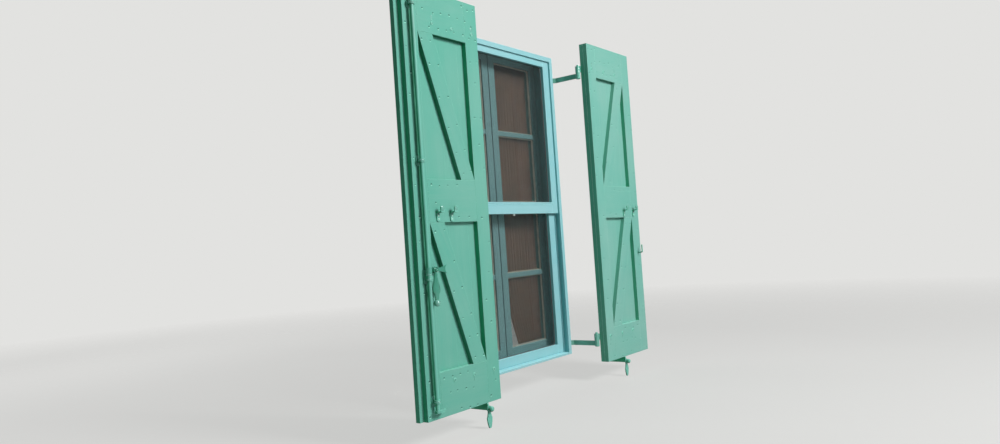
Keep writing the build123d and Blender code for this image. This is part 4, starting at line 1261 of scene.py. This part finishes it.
class SHUTTERS_OT_insect_mesh(bpy.types.Operator):
    """Stretches the insect mesh over both screens and presses its cord in"""
    bl_idname = "shutters.insect_mesh"
    bl_label = "Insect mesh"

    def execute(self, context):
        tree = tree_named("Beads", bead_tree)
        for screen, body in (("upper_screen", "window_frame"), ("lower_screen", "lower_sash")):
            low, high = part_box(screen)
            sheet = grid_sheet(screen + "_net", stretched_rows(low, high), "insect_mesh", body)
            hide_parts(screen)
            line = upright_loop(low.x + CORD_INSET, high.x - CORD_INSET, (low.y + high.y) / 2 + CORD_BEHIND,
                                low.z + CORD_INSET, high.z - CORD_INSET)
            values = {"Radius": sizes_of(context).spline_radius, "Unevenness": 0.05, "Spacing": 0.03,
                      "Material": FINISHES["cord"]}
            grown(screen + "_cord", loops_mesh(screen + "_line", [line]), tree, values, body)
        return {"FINISHED"}


class SHUTTERS_OT_curtains(bpy.types.Operator):
    """Gathers a net curtain on the rod of each casement leaf"""
    bl_idname = "shutters.curtains"
    bl_label = "Net curtains"

    def execute(self, context):
        for side, sign in SIDES:
            low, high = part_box(side + "_curtain")
            rod_low, rod_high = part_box(side + "_curtain_rod")
            rod = ((rod_low.y + rod_high.y) / 2, (rod_low.z + rod_high.z) / 2)
            section = curtain_section(rod, low.z)
            lengths = lengths_along(section)
            rows = gathered_rows(section, lengths, rod, low, high, sign, sizes_of(context).curtain_fullness)
            sheet = grid_sheet(f"{side}_net_curtain", rows, "net", side + "_casement_leaf")
            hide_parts(side + "_curtain")
        return {"FINISHED"}


class SHUTTERS_OT_stage(bpy.types.Operator):
    """Sets the floor, the plain background, the lamps and the camera"""
    bl_idname = "shutters.stage"
    bl_label = "Stage"

    def execute(self, context):
        scene = context.scene
        scene.view_settings.view_transform = "Standard"
        colour = rgba(colours_of(context).backdrop)
        low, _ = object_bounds()
        bm = bmesh.new()
        bmesh.ops.create_circle(bm, cap_ends=True, segments=96, radius=FLOOR_RADIUS,
                                matrix=Matrix.Translation((0.0, 0.0, low.z - FLOOR_GAP)))
        floor = bpy.data.objects.new("floor", mesh_from("floor", bm))
        scene.collection.objects.link(floor)
        floor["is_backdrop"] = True
        floor.data.materials.append(floor_material(colour))
        scene.world = bpy.data.worlds.new("pale_studio")
        light_world(scene.world, colour)
        for name, place, target, size, power in LAMPS:
            lamp(scene, name, place, target, size, power)
        set_camera(scene)
        return {"FINISHED"}


class SHUTTERS_PT_panel(bpy.types.Panel):
    """Lists the steps and the settings"""
    bl_idname = "SHUTTERS_PT_panel"
    bl_label = "Window Shutters"
    bl_space_type = "VIEW_3D"
    bl_region_type = "UI"
    bl_category = "Shutters"

    def draw(self, context):
        layout = self.layout
        for operator in OPERATORS:
            layout.operator(operator.bl_idname)
        for group in (sizes_of(context), colours_of(context)):
            box = layout.box()
            for name in group.__annotations__:
                box.prop(group, name)


OPERATORS = (SHUTTERS_OT_finishes, SHUTTERS_OT_nails, SHUTTERS_OT_bolt_heads, SHUTTERS_OT_screws,
             SHUTTERS_OT_handle, SHUTTERS_OT_putty, SHUTTERS_OT_insect_mesh, SHUTTERS_OT_curtains,
             SHUTTERS_OT_stage)
CLASSES = (ShutterSizes, ShutterColours) + OPERATORS + (SHUTTERS_PT_panel,)


def register():
    for cls in CLASSES:
        bpy.utils.register_class(cls)
    bpy.types.Scene.shutter_sizes = bpy.props.PointerProperty(type=ShutterSizes)
    bpy.types.Scene.shutter_colours = bpy.props.PointerProperty(type=ShutterColours)


def unregister():
    del bpy.types.Scene.shutter_colours
    del bpy.types.Scene.shutter_sizes
    for cls in reversed(CLASSES):
        bpy.utils.unregister_class(cls)


def main():
    register()
    bpy.ops.shutters.finishes()
    bpy.ops.shutters.nails()
    bpy.ops.shutters.bolt_heads()
    bpy.ops.shutters.screws()
    bpy.ops.shutters.handle()
    bpy.ops.shutters.putty()
    bpy.ops.shutters.insect_mesh()
    bpy.ops.shutters.curtains()
    bpy.ops.shutters.stage()


if __name__ == "__main__":
    main()
